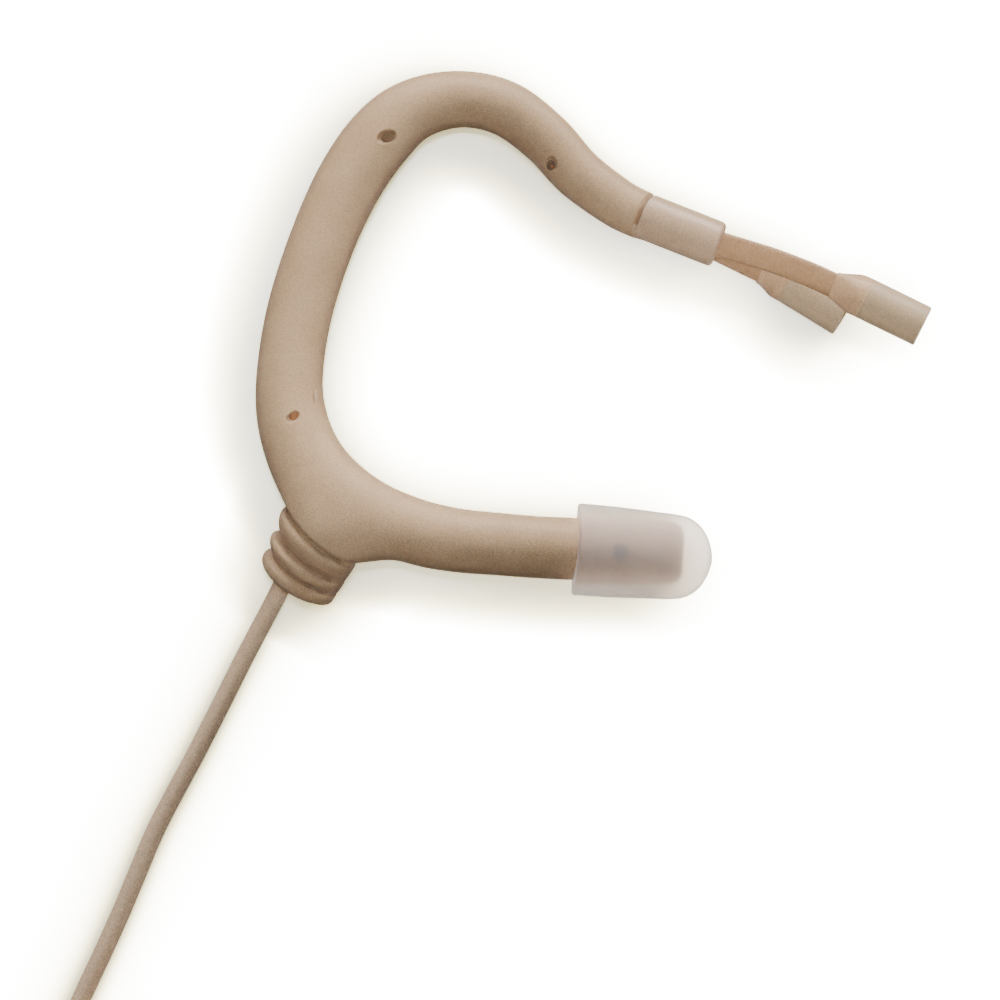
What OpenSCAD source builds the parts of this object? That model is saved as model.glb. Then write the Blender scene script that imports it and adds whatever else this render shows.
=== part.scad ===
// Over-ear headset microphone with two short booms, lying flat on a table.
// Origin: bottom centre of the headset without its cable. +X towards the capsules,
// +Y towards the top of the ear loop, +Z up from the table. Millimetres.

/* [Ear loop] */
// Scale of the moulding's section, 1 is the nominal section
moulding_section = 1.0; // [0.97:0.01:1.03]
// Diameter of the three small locating holes in the moulding
locating_hole_d = 1.1; // [0.6:0.1:1.3]
// Diameter of the formable core wires
core_wire_d = 1.2; // [0.8:0.1:1.3]
// Diameter of each microphone lead inside the loop
lead_d = 0.9; // [0.6:0.1:1.0]

/* [Boom collar] */
// Outer diameter of the collar
collar_d = 4.66; // [4.5:0.02:4.8]
// Length of the collar
collar_len = 8.1; // [7:0.1:8.5]

/* [Booms and capsules] */
// Width of each flat boom
boom_w = 2.5; // [2.2:0.05:2.6]
// Thickness of each flat boom
boom_t = 1.1; // [0.9:0.05:1.1]
// Outer diameter of the capsule housings
capsule_d = 4.2; // [3.8:0.05:4.2]
// Length of the front capsule housing
front_capsule_len = 6.4; // [5.5:0.1:6.6]
// Length of the rear capsule housing
rear_capsule_len = 6.6; // [5.5:0.1:6.8]

/* [Silicone cap] */
// Outer diameter of the cap at its rim
cap_d = 9.1; // [8.8:0.1:9.1]
// Length of the cap
cap_len = 13.8; // [12.8:0.1:14]

/* [Cable] */
// Outer diameter of the cable
cable_d = 1.9; // [1.7:0.05:1.9]
// Diameter across the middle of the coil's turns
coil_mid_d = 21; // [19:0.5:23]

/* [Plug] */
// Diameter of the plug's contact shaft
jack_d = 3.5; // [3.5:0.1:3.5]
// Length of the contact shaft ahead of the neck
jack_len = 14; // [14:0.5:15]
// Outer diameter of the screw-lock nut
nut_d = 8.0; // [7.6:0.1:8]
// Outer diameter of the plug's barrel
barrel_d = 7.0; // [6.6:0.1:7.2]

/* [Hidden] */
$fn = 48;
eps = 0.02;      // small overlap that makes a cut clean
running = 0.06;  // radial clearance of a running fit
snug = 0.03;     // clearance round pieces that are moulded in

TAN = [0.72, 0.62, 0.53];
PEACH = [0.74, 0.6, 0.47];
GREY_TAN = [0.67, 0.6, 0.5];
CABLE_TAN = [0.73, 0.65, 0.56];
MILKY = [0.88, 0.85, 0.84, 0.6];
COPPER = [0.72, 0.42, 0.22];
STEEL = [0.75, 0.75, 0.77];
NICKEL = [0.78, 0.77, 0.74];
GOLD = [0.85, 0.68, 0.3];
BLACK = [0.1, 0.1, 0.1];
BOARD = [0.1, 0.35, 0.2];

// ---- Curves and sweeps -------------------------------------------------
// A station is [x, y, z, half width, half thickness]; a path is a list of them.

function unit(v) = v / norm(v);
function xyz(p) = [p[0], p[1], p[2]];
function between(a, b, c, d, t) =
    ((2 * b) + (c - a) * t + (2 * a - 5 * b + 4 * c - d) * t * t
        + (3 * b - a - 3 * c + d) * t * t * t) / 2;

// A smooth path through the stations, with this many steps from each to the next
function smooth(stations, steps) = let (last = len(stations) - 1) concat(
    [for (i = [0:last - 1], j = [0:steps - 1])
        between(stations[max(i - 1, 0)], stations[i], stations[i + 1],
            stations[min(i + 2, last)], j / steps)],
    [stations[last]]);

function heading(path, i) =
    unit(xyz(path[min(i + 1, len(path) - 1)]) - xyz(path[max(i - 1, 0)]));
function side_of(t) = unit(cross([0, 0, 1], t));
function signed_pow(c, e) = sign(c) * pow(abs(c), e);

// One ring of n points about p, square to t; squareness 1 is an ellipse, less is squarer
function ring(p, t, n, squareness = 1) = let (s = side_of(t), u = cross(t, s))
    [for (k = [0:n - 1]) let (a = 360 * k / n)
        xyz(p) + p[3] * signed_pow(cos(a), squareness) * s
            + p[4] * signed_pow(sin(a), squareness) * u];

function rings(path, n, squareness = 1) =
    [for (i = [0:len(path) - 1]) ring(path[i], heading(path, i), n, squareness)];

// A path beside another: sideways and up in its own section, with its own radius
function beside(path, sideways, up, r) = [for (i = [0:len(path) - 1])
    let (t = heading(path, i), s = side_of(t), q = xyz(path[i]) + sideways * s + up * cross(t, s))
        [q[0], q[1], q[2], r, r]];

function part_of(list, first, last) = [for (i = [first:last]) list[i]];
function reversed(list) = [for (i = [len(list) - 1:-1:0]) list[i]];
function round_path(points, r) = [for (p = points) [p[0], p[1], p[2], r, r]];

// A closed skin over a list of rings that all have the same number of points
module skin(all_rings) {
    n = len(all_rings[0]);
    m = len(all_rings);
    polyhedron(
        points = [for (r = all_rings) each r],
        faces = concat(
            [[for (k = [0:n - 1]) k]],
            [for (i = [0:m - 2], k = [0:n - 1])
                [i * n + k, (i + 1) * n + k, (i + 1) * n + (k + 1) % n, i * n + (k + 1) % n]],
            [[for (k = [n - 1:-1:0]) (m - 1) * n + k]]));
}

module sweep(path, n, squareness = 1) {
    skin(rings(path, n, squareness));
}

// A skin whose last ring joins its first, for a tube that is open right through
module ring_skin(all_rings) {
    n = len(all_rings[0]);
    m = len(all_rings);
    polyhedron(
        points = [for (r = all_rings) each r],
        faces = [for (i = [0:m - 1], k = [0:n - 1]) let (j = (i + 1) % m)
            [i * n + k, j * n + k, j * n + (k + 1) % n, i * n + (k + 1) % n]]);
}

// Lays a solid of revolution, drawn as [distance along, radius] points, along +X
module turned(outline) {
    rotate([0, 90, 0]) rotate_extrude() polygon([for (p = outline) [p[1], p[0]]]);
}

// Points of a rounded corner about a centre, as [distance along, radius]
function corner(centre, r, from, to) = [for (i = [0:4]) let (a = from + (to - from) * i / 4)
    [centre[0] + r * cos(a), centre[1] + r * sin(a)]];

// ---- Routes ------------------------------------------------------------

mouth = [12.65, 9.4, 4.3];      // centre of the collar's open end
collar_heading = -21.7;
collar_rise = 3;                // the collar points this many degrees up
collar_axis = [cos(collar_heading) * cos(collar_rise), sin(collar_heading) * cos(collar_rise),
    sin(collar_rise)];
collar_root = mouth - collar_len * collar_axis;
collar_back = collar_root - collar_axis;

// Ear loop, from the collar over the top and down behind the ear to the lower arm
loop_stations = [
    [collar_root[0], collar_root[1], collar_root[2], 2.4, 2.4],
    [collar_back[0], collar_back[1], collar_root[2] - 0.05, 2.45, 2.45],
    [2.3, 13.8, 3.7, 2.5, 2.5],
    [-1.4, 16.6, 3.4, 2.6, 2.6],
    [-4.7, 20.2, 3.1, 2.7, 2.7],
    [-8.7, 23.15, 3.0, 2.8, 2.8],
    [-13.2, 24.1, 3.0, 2.85, 2.85],
    [-17.7, 23.1, 3.2, 3.1, 3.0],
    [-21.0, 20.5, 3.4, 3.4, 3.2],
    [-24.2, 16.0, 3.4, 3.4, 3.2],
    [-27.0, 10.0, 3.4, 3.3, 3.2],
    [-29.3, 2.8, 3.6, 3.3, 3.2],
    [-30.3, -4.0, 4.1, 3.35, 3.3],
    [-29.8, -8.8, 4.6, 3.6, 3.5],
    [-28.0, -13.0, 5.0, 3.9, 3.8],
    [-25.0, -16.2, 5.2, 4.0, 4.0],
    [-22.0, -17.9, 5.15, 3.8, 3.8],
    [-19.0, -18.8, 5.05, 3.4, 3.4]];
steps_between = 4;              // sections of the skin from one station to the next
loop_path = smooth([for (p = loop_stations)
    [p[0], p[1], p[2], p[3] * moulding_section, p[4] * moulding_section]], steps_between);
loop_end = len(loop_path) - 1;
knuckle = xyz(loop_path[loop_end]);
knuckle_r = 3.4;

// Lower arm, from the knuckle to where it runs straight into the cap
cap_heading = -2.8;
cap_rim = [-1.8, -20.95, 4.55];
function along_cap(d) = cap_rim + d * [cos(cap_heading), sin(cap_heading), 0];
arm_plug_len = 10.8;            // how far the arm reaches into the cap
arm_bend = [
    [knuckle[0], knuckle[1], knuckle[2], knuckle_r, knuckle_r],
    [-16.2, -19.6, 4.9, 3.28, 3.25],
    [-13.0, -20.15, 4.8, 3.2, 3.15],
    [-9.5, -20.45, 4.65, 3.15, 3.1]];
arm_rim_r = 3.12;               // the arm's radius at the cap's rim
arm_tip_r = 2.8;                // and near its tip
tip_round = 1.2;                // length of the arm's rounded tip
function arm_r(d) = arm_rim_r - (arm_rim_r - arm_tip_r) * max(d, 0) / arm_plug_len;
function arm_station(d, r) = let (p = along_cap(d)) [p[0], p[1], p[2], r, r];
arm_straight = concat(
    [for (d = [-4, 0, 4, arm_plug_len - tip_round]) arm_station(d, arm_r(d))],
    [for (a = [30, 55, 75, 88])
        arm_station(arm_plug_len - tip_round + tip_round * sin(a),
            arm_r(arm_plug_len) - tip_round + tip_round * cos(a))]);

// Boot: ring centres from the moulding to the cable, each ring turned a little further
boot_root = [-27.5, -19.6, 5.0];
boot_end = [-29.75, -24.4, 3.5];
boot_root_yaw = -132;
boot_end_yaw = -122;
boot_dip = 21;                  // the boot points this many degrees down
boot_root_half = [4.5, 3.9];
boot_end_half = [4.1, 3.5];
// [place along the boot from 0 to 1, scale of the section]: three ribs and the grooves
boot_profile = [
    [-0.06, 0.9], [0.04, 0.9], [0.08, 0.97], [0.15, 1.0], [0.27, 1.0], [0.33, 0.97],
    [0.36, 0.9], [0.42, 0.9], [0.45, 0.97], [0.51, 1.0], [0.62, 1.0], [0.67, 0.97],
    [0.7, 0.9], [0.76, 0.9], [0.79, 0.97], [0.85, 1.0], [0.94, 0.99], [0.98, 0.95], [1, 0.88]];
function boot_ring(place, scale, n) =
    let (yaw = boot_root_yaw + (boot_end_yaw - boot_root_yaw) * place,
        c = boot_root + (boot_end - boot_root) * place,
        half = boot_root_half + (boot_end_half - boot_root_half) * place,
        t = [cos(yaw) * cos(boot_dip), sin(yaw) * cos(boot_dip), -sin(boot_dip)])
    ring([c[0], c[1], c[2], half[0] * scale, half[1] * scale], t, n);

// Cable, from its crimp through the boot and down to the table, then out to the coil
cable_r = cable_d / 2;
cable_points = [
    [-27.3, -17.4, 5.0],
    [-28.2, -19.3, 4.75],
    [-29.5, -21.7, 4.1],
    [-30.75, -23.9, 3.3],
    [-31.7, -25.8, 2.6],
    [-33.3, -28.8, 1.65],
    [-35.2, -32.4, 1.1],
    [-37.3, -36.6, 0.95],
    [-39.8, -41.5, 0.95],
    [-41.9, -45.4, 0.95],
    [-43.9, -49.3, 0.95],
    [-45.6, -53.3, 0.95],
    [-47.4, -57.6, 0.95],
    [-49.3, -61.8, 0.95],
    [-51.3, -66.1, 0.95],
    [-53.2, -70.6, 0.95],
    [-54.5, -75.2, 0.95],
    [-55.2, -80.4, 0.95],
    [-55.3, -86.0, 0.95]];
coil_side = 9.6;                // the bundle of turns is this wide
coil_height = 7.6;              // and this tall
coil_outer_r = coil_mid_d / 2 + coil_side / 2;
coil_inner_r = coil_mid_d / 2 - coil_side / 2;
coil_centre = [-55.3 + coil_outer_r - cable_r, -86.0, 0];
coil_corner = 1.6;

// Tail, from the coil's lowest side to the plug
plug_at = [-6, -98.6, 4.0];     // rear end of the plug, on its axis
tail_points = [
    [coil_centre[0], coil_centre[1] - coil_outer_r + cable_r, 6.95],
    [-36.5, -100.75, 6.85],
    [-32.2, -101.2, 5.6],
    [-28.4, -101.1, 3.3],
    [-24.8, -100.6, 1.5],
    [-21.0, -99.9, 0.98],
    [-17.0, -99.1, 1.3],
    [-13.2, -98.7, 2.4],
    [-9.6, -98.6, 3.6],
    [-6.4, -98.6, 3.98],
    [-3.0, -98.6, 4.0],
    [5.0, -98.6, 4.0]];

// Inner runs, set beside the loop's centre line
wire_up = 0.85;
lead_down = 0.65;
lead_out = 0.6;
inner_end = loop_end - 11;      // where they reach the junction pocket
function in_collar(d) = let (p = mouth - d * collar_axis) [p[0], p[1], p[2], 0, 0];
inner_path = concat([in_collar(2.4), in_collar(5)],
    [for (i = [1:2:inner_end]) loop_path[i]]);
wire_path = beside(inner_path, 0, wire_up, core_wire_d / 2);
front_lead_path = beside(inner_path, lead_out, -lead_down, lead_d / 2);
rear_lead_path = beside(inner_path, -lead_out, -lead_down, lead_d / 2);

function thicker(path, extra) =
    [for (p = path) [p[0], p[1], p[2], p[3] + extra, p[4] + extra]];

// Junction pocket, where both leads join the cable
pocket_at = [-26.6, -16.2, 5.0];
pocket_turn = 48;
pocket = [4.0, 4.6, 2.6];
wire_sides = 8;
crimp_r = 1.3;

module at_pocket() {
    translate(pocket_at) rotate([0, 0, pocket_turn]) children();
}

// ---- Ear mount ---------------------------------------------------------

moulding_sides = 28;
pin_holes = [[-20.4, 20.1], [-4.2, 17.6], [-29.7, -7.8]];
pin_hole_floor = 4.2;           // height of the holes' flat floor above the table
ball_play = 0.3;                // room round the arm's ball-shaped root
seat_place = 0.03;              // where along the boot its seat lies
seat_scale = 0.91;              // the boot's stub, with room round it, as a share of its section
past_scale = 1.4;               // well outside the boot's section
blend_back = 16;                // the blend starts this many sections before the loop's end

// Blends the loop, the lower arm and the boot's root into one Y
module junction_blend() {
    root = boot_ring(0.02, 0.99, moulding_sides);
    inner = boot_ring(-0.35, 0.97, moulding_sides);
    // each pass joins one section of the loop to the boot's root
    for (i = [loop_end - blend_back:2:loop_end]) {
        hull() {
            skin([ring(loop_path[i], heading(loop_path, i), moulding_sides),
                ring(loop_path[max(i - 1, 0)], heading(loop_path, max(i - 1, 0)), moulding_sides)]);
            skin([inner, root]);
        }
    }
}

module ear_mount() {
    color(TAN) difference() {
        union() {
            sweep(loop_path, moulding_sides);
            junction_blend();
        }
        // room for the arm's round end to turn
        translate(knuckle) sphere(knuckle_r + ball_play, $fn = 40);
        // channels of the core wire and the two leads, open at the collar
        sweep(thicker(wire_path, snug), wire_sides);
        sweep(thicker(front_lead_path, snug), wire_sides);
        sweep(thicker(rear_lead_path, snug), wire_sides);
        at_pocket() cube(pocket, center = true);
        // the cable's way from the pocket to the boot
        sweep(round_path(part_of(cable_points, 0, 1), crimp_r + snug), 12);
        for (p = pin_holes) {
            translate([p[0], p[1], pin_hole_floor])
                cylinder(h = 6, d = locating_hole_d, $fn = 16);
        }
        boot_seat();
    }
}

// The moulding's end face against the boot
module boot_seat() {
    skin([boot_ring(-0.1, seat_scale, moulding_sides),
        boot_ring(seat_place, seat_scale, moulding_sides),
        boot_ring(seat_place + 0.005, past_scale, moulding_sides),
        boot_ring(1.2, past_scale, moulding_sides)]);
}

module strain_relief() {
    color(TAN) difference() {
        skin([for (p = boot_profile) boot_ring(p[0], p[1], moulding_sides)]);
        sweep(round_path(part_of(cable_points, 0, 3), cable_r + snug), wire_sides);
    }
}

module loop_wire() {
    color(COPPER) sweep(wire_path, wire_sides);
}

module front_lead() {
    color(BLACK) sweep(front_lead_path, wire_sides);
}

module rear_lead() {
    color(BLACK) sweep(rear_lead_path, wire_sides);
}

board_size = [2.6, 3.0, 0.6];
board_shift = [0.55, 0, -0.75]; // from the middle of the pocket
crimp_share = 0.45;             // the crimp's length as a share of the cable's first stretch

// The small board where the two leads join the cable
module junction_board() {
    color(BOARD) at_pocket() translate(board_shift) cube(board_size, center = true);
}

module cable_crimp() {
    from = cable_points[0];
    way = [from, from + crimp_share * (cable_points[1] - from)];
    outer = rings(round_path(way, crimp_r), 12);
    inner = rings(round_path(way, cable_r + snug), 12);
    color(STEEL) ring_skin(concat(outer, reversed(inner)));
}

// ---- Collar ------------------------------------------------------------
// In the collar's frame +X runs out of the mouth, +Y to the loop's outer side.

module at_mouth() {
    translate(mouth) rotate([0, -collar_rise, collar_heading]) children();
}

collar_r = collar_d / 2;
neck_r = 2.12;                  // the groove between the loop and the collar
neck_len = 0.5;
lip_r = 0.35;
chamber_r = 1.7;
chamber_end = 1.9;              // the chamber stops this far behind the mouth
nose_play = 0.2;                // room round each boom's round nose
slot_play = 0.2;                // how much thicker than the boom its slot is
lead_way_r = 0.4;               // the leads' way through the collar's end
// [offset sideways, height above the collar's axis, width, thickness] of each boom's root
front_root = [0.1, 0.65, boom_w, boom_t];
rear_root = [-0.45, -0.62, boom_w - 0.2, boom_t];

// The slot that a boom's round nose turns in
module boom_slot(root, height, drop) {
    translate([0, root[0], root[1] - root[3] / 2 - drop]) linear_extrude(height) {
        circle(root[2] / 2 + nose_play);
        translate([0, -root[2] / 2 - nose_play]) square([1, root[2] + 2 * nose_play]);
    }
}

module end_collar() {
    L = collar_len;
    color(TAN) at_mouth() difference() {
        turned(concat(
            [[0.03 - L, 0], [0.03 - L, neck_r], [neck_len - L, neck_r],
                [neck_len + 0.2 - L, collar_r]],
            corner([-lip_r, collar_r - lip_r], lip_r, 90, 0),
            [[0, 0]]));
        turned([[-L - 1, 0], [-L - 1, chamber_r], [-chamber_end, chamber_r], [-chamber_end, 0]]);
        rotate([0, 90, 0]) cylinder(r = lead_way_r, h = 4, center = true);
        boom_slot(front_root, boom_t + slot_play, 0.1);
        boom_slot(rear_root, boom_t + slot_play, 0.12);
    }
}

// ---- Booms -------------------------------------------------------------

boom_sides = 16;
core_half = [0.7, 0.22];        // the flat core inside each boom
ribbon_square = 0.6;            // the boom's section is a rounded rectangle
boot_wall = 0.14;

// Lines of each boom's centre in the collar's frame; the last point starts its capsule
front_line = [[0, 0.1, 0.65], [2.8, 0.32, 0.78], [5.7, 0.5, 1.2], [9.6, 0.5, 1.85],
    [12.1, 0.35, 2.2], [13.3, 0.31, 2.25], [15.5, 0.3, 2.25]];
front_turn = -4.6;
front_boot_start = [12.0, 0.36, 2.19];
rear_line = [[0, -0.45, -0.62], [1.8, -0.58, -0.85], [3.4, -0.68, -1.35], [4.9, -0.74, -1.85],
    [6.1, -0.77, -2.2], [7.7, -0.8, -2.3]];
rear_turn = -9.8;
rear_boot_start = [4.7, -0.735, -1.79];

function widths(line, w, t) = [for (p = line) [p[0], p[1], p[2], w / 2, t / 2]];
function last_of(list) = list[len(list) - 1];

// The round nose that the boom turns on, then its ribbon
function boom_path(line, w, t) = concat(
    [for (a = [75, 50, 25]) [-w / 2 * sin(a), line[0][1], line[0][2], w / 2 * cos(a), t / 2]],
    smooth(widths(part_of(line, 0, len(line) - 2), w, t), 2));
function core_path(line, half, reach) = let (c = last_of(line)) smooth(concat(
    [for (p = part_of(line, 0, len(line) - 1)) [p[0], p[1], p[2], half[0], half[1]]],
    [[c[0] + reach, c[1], c[2], half[0], half[1]]]), 2);

// Boot from the ribbon's section to the capsule's round end. It starts on the boom's line at
// the given point, ends along the capsule's own axis, and runs on a little past its end.
function boot_path(line, start, turn, w, t) =
    let (c = last_of(line), span = norm(c - start), out = [cos(turn), sin(turn), 0],
        away = unit(c - start))
    [for (i = [0:9]) let (f = min(i / 8, 1), g = f * f * (3 - 2 * f),
            p = start * (1 - g) + c * g + span * f * (1 - f) * ((1 - f) * away - f * out)
                + (i == 9 ? 0.4 : 0) * out)
        [p[0], p[1], p[2],
            (w / 2 + boot_wall) * (1 - g) + capsule_d / 2 * g,
            (t / 2 + boot_wall) * (1 - g) + capsule_d / 2 * g]];

module boom_shell(line, w, t) {
    path = boom_path(line, w, t);
    at_mouth() difference() {
        sweep(path, boom_sides, ribbon_square);
        sweep(core_path(line, core_half + [snug, snug], 1), wire_sides, ribbon_square);
    }
}

module boom_core(line) {
    at_mouth() sweep(core_path(line, core_half, 1.2), wire_sides, ribbon_square);
}

module boot(line, start, turn, w, t) {
    at_mouth() difference() {
        sweep(boot_path(line, start, turn, w, t), boom_sides);
        sweep(boom_path(line, w + 2 * snug, t + 2 * snug), boom_sides, ribbon_square);
        sweep(core_path(line, core_half + [snug, snug], 1), wire_sides, ribbon_square);
        // its front end lies flat against the housing
        translate(last_of(line)) rotate([0, 0, turn]) translate([-eps, -4, -4]) cube(8);
    }
}

module at_capsule(line, turn) {
    at_mouth() translate(last_of(line)) rotate([0, 0, turn]) children();
}

// ---- Capsules: everything is turned about the capsule's own axis --------

capsule_r = capsule_d / 2;
bore_r = capsule_r - 0.35;      // inside of the housing
end_wall = 0.5;
port_r = 0.9;                   // sound port in the end wall
element_len = 3.0;
element_r = bore_r - 0.05;
rim_step = 0.15;                // the element's rim stands this far inside its can
can_gap = 0.22;                 // from the end wall to the front of the element
bevel = 0.2;                    // rounding of the housing's front edge

module housing(line, turn, len) {
    at_capsule(line, turn) difference() {
        turned(concat([[0, 0], [0, capsule_r]],
            corner([len - bevel, capsule_r - bevel], bevel, 90, 0), [[len, 0]]));
        turned([[-1, 0], [-1, bore_r], [len - end_wall, bore_r], [len - end_wall, 0]]);
        rotate([0, 90, 0]) cylinder(r = port_r, h = len + 1);
    }
}

module screen(line, turn, len) {
    at_capsule(line, turn) translate([len - end_wall - 0.17, 0, 0]) rotate([0, 90, 0])
        cylinder(r = element_r, h = 0.15);
}

module element(line, turn, len) {
    front = len - end_wall - can_gap;
    at_capsule(line, turn) turned([
        [front, 0.5], [front, element_r], [front - element_len, element_r],
        [front - element_len, element_r - rim_step], [front - 0.25, element_r - rim_step],
        [front - 0.25, 0.5]]);
}

module diaphragm(line, turn, len) {
    at_capsule(line, turn) translate([len - end_wall - 0.65, 0, 0]) rotate([0, 90, 0])
        cylinder(r = element_r - 0.17, h = 0.1);
}

module preamp_board(line, turn, len) {
    at_capsule(line, turn) translate([len - end_wall - can_gap - element_len - 0.7, 0, 0])
        rotate([0, 90, 0]) cylinder(r = element_r, h = 0.5);
}

module front_boom() {
    color(PEACH) boom_shell(front_line, boom_w, boom_t);
}

module front_boom_core() {
    color(COPPER) boom_core(front_line);
}

module front_boot() {
    color(PEACH) boot(front_line, front_boot_start, front_turn, boom_w, boom_t);
}

module front_housing() {
    color(GREY_TAN) housing(front_line, front_turn, front_capsule_len);
}

module front_screen() {
    color(STEEL) screen(front_line, front_turn, front_capsule_len);
}

module front_element() {
    color(NICKEL) element(front_line, front_turn, front_capsule_len);
}

module front_diaphragm() {
    color(GOLD) diaphragm(front_line, front_turn, front_capsule_len);
}

module front_preamp_board() {
    color(BOARD) preamp_board(front_line, front_turn, front_capsule_len);
}

module rear_boom() {
    color(PEACH) boom_shell(rear_line, rear_root[2], boom_t);
}

module rear_boom_core() {
    color(COPPER) boom_core(rear_line);
}

module rear_boot() {
    color(PEACH) boot(rear_line, rear_boot_start, rear_turn, rear_root[2], boom_t);
}

module rear_housing() {
    color(GREY_TAN) housing(rear_line, rear_turn, rear_capsule_len);
}

module rear_screen() {
    color(STEEL) screen(rear_line, rear_turn, rear_capsule_len);
}

module rear_element() {
    color(NICKEL) element(rear_line, rear_turn, rear_capsule_len);
}

module rear_diaphragm() {
    color(GOLD) diaphragm(rear_line, rear_turn, rear_capsule_len);
}

module rear_preamp_board() {
    color(BOARD) preamp_board(rear_line, rear_turn, rear_capsule_len);
}

// ---- Lower arm and its cap ---------------------------------------------

arm_sides = 24;
arm_dir = heading(loop_path, loop_end);
// the ball-shaped root that turns in the moulding's hollow
arm_nose = [for (a = [64, 48, 32, 16]) let (p = knuckle - knuckle_r * sin(a) * arm_dir)
    [p[0], p[1], p[2], knuckle_r * cos(a), knuckle_r * cos(a)]];
arm_path = concat(arm_nose, part_of(smooth(concat(arm_bend, arm_straight), 3), 0,
    3 * (len(arm_bend) + 3)), part_of(arm_straight, 4, len(arm_straight) - 1));
arm_wire_to = len(arm_path) - 7;
arm_hole = [2.65, -21.25];
arm_hole_floor = 5.4;

module lower_arm() {
    wire_way = [for (p = part_of(arm_path, 0, arm_wire_to))
        [p[0], p[1], p[2], core_wire_d / 2 + snug, core_wire_d / 2 + snug]];
    color(TAN) difference() {
        skin(concat(reversed(rings(wire_way, arm_sides)), rings(arm_path, arm_sides)));
        translate([arm_hole[0], arm_hole[1], arm_hole_floor]) cylinder(d = locating_hole_d, h = 4);
    }
}

module arm_wire() {
    way = part_of(arm_path, 0, arm_wire_to);
    color(COPPER) sweep([for (p = way) [p[0], p[1], p[2], core_wire_d / 2, core_wire_d / 2]],
        wire_sides);
}

module silicone_cap() {
    R = cap_d / 2;
    L = cap_len;
    color(MILKY) translate(cap_rim) rotate([0, 0, cap_heading]) turned([
        [0, arm_rim_r + 0.1], [0, R - 0.25], [0.25, R], [4, R - 0.05], [8, R - 0.25],
        [L - 3.4, R - 0.38], [L - 2.2, R - 0.82], [L - 1.2, R - 1.6], [L - 0.5, R - 2.6],
        [L - 0.12, R - 3.7], [L, 0],
        [arm_plug_len + 0.2, 0], [arm_plug_len + 0.1, arm_tip_r - 0.7],
        [arm_plug_len - tip_round * 0.4, arm_tip_r + running - 0.1],
        [arm_plug_len - tip_round, arm_r(arm_plug_len - tip_round) + running],
        [0.4, arm_r(0.4) + running]]);
}

// ---- Cable -------------------------------------------------------------

module cable_run() {
    color(CABLE_TAN) sweep(round_path(cable_points, cable_r), wire_sides);
}

module cable_tail() {
    color(CABLE_TAN) sweep(round_path(tail_points, cable_r), wire_sides);
}

tie_t = 0.28;
coil_z = [tie_t + 0.02, tie_t + 0.02 + coil_height];
tie_turn = 11;                  // each tie covers this many degrees of the coil

// The bundle's section, grown outwards by some amount
module coil_section(grow) {
    r = coil_corner + grow;
    lo = [coil_inner_r - grow, coil_z[0] - grow];
    hi = [coil_outer_r + grow, coil_z[1] + grow];
    polygon(concat(
        corner([hi[0] - r, hi[1] - r], r, 0, 90),
        corner([lo[0] + r, hi[1] - r], r, 90, 180),
        corner([lo[0] + r, lo[1] + r], r, 180, 270),
        corner([hi[0] - r, lo[1] + r], r, 270, 360)));
}

module cable_coil() {
    color(CABLE_TAN) translate(coil_centre) rotate_extrude() coil_section(0);
}

module cable_tie() {
    color(BLACK) translate(coil_centre) for (a = [40, 220]) {
        rotate([0, 0, a]) rotate_extrude(angle = tie_turn) difference() {
            coil_section(tie_t);
            coil_section(eps);
        }
    }
}

// ---- Plug: distances run from the boot's rear end along +X --------------

module at_plug() {
    translate(plug_at) children();
}

jack_r = jack_d / 2;
barrel_r = barrel_d / 2;
nut_r = nut_d / 2;
cable_bore_r = cable_r + 0.06;
barrel_from = 9.2;
barrel_to = 25.2;
plug_neck_r = 2.45;
nut_from = 25.5;
nut_len = 8.5;
shaft_from = 30.2;              // the contact shaft starts at the neck's end
shaft_to = shaft_from + jack_len;
sleeve_to = shaft_from + 7;
insulator_len = 0.7;            // width of each insulating ring
ring_len = 2.2;
ring_from = sleeve_to + insulator_len;
ring_to = ring_from + ring_len;
tip_from = ring_to + insulator_len;
barrel_bore_r = 3.05;
neck_plug_r = 3.02;             // the neck's rear end, pressed into the barrel
collar_flange_r = 2.9;          // the flange that holds the nut on
nut_bore_r = 3.1;
nut_step = 29.35;               // where the nut's bore widens
clamp_r = 1.5;
clamp_from = 12.6;
clamp_to = 16.5;
flute_r = 0.6;                  // radius of each grip flute on the nut

module plug_boot() {
    color(BLACK) at_plug() turned([
        [0, cable_bore_r], [0, 1.75], [0.4, 1.9], [8.9, 2.5], [10.3, 2.5], [10.3, 2.95],
        [12, 2.95], [12, cable_bore_r]]);
}

module plug_barrel() {
    R = barrel_r;
    color(NICKEL) at_plug() turned([
        [barrel_from, 2.6], [barrel_from, R - 0.5], [barrel_from + 0.5, R], [barrel_to - 0.3, R],
        [barrel_to, R - 0.3], [barrel_to, barrel_bore_r], [10.2, barrel_bore_r], [10.2, 2.6]]);
}

module cable_clamp() {
    color(STEEL) at_plug() turned([[clamp_from, cable_bore_r], [clamp_from, clamp_r],
        [clamp_to, clamp_r], [clamp_to, cable_bore_r]]);
}

module plug_neck() {
    color(NICKEL) at_plug() turned([
        [20, 1.52], [20, neck_plug_r], [barrel_to + 0.15, neck_plug_r],
        [barrel_to + 0.15, plug_neck_r], [29.5, plug_neck_r], [29.5, collar_flange_r],
        [shaft_from, collar_flange_r], [shaft_from, 1.52]]);
}

module plug_sleeve() {
    color(GOLD) at_plug() turned([
        [23, 1.22], [23, 1.5], [shaft_from, 1.5], [shaft_from, jack_r], [sleeve_to, jack_r],
        [sleeve_to, 1.22]]);
}

module plug_ring() {
    color(GOLD) at_plug() turned([
        [21, 0.64], [21, 0.9], [ring_from, 0.9], [ring_from, jack_r],
        [ring_to, jack_r], [ring_to, 0.64]]);
}

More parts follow.
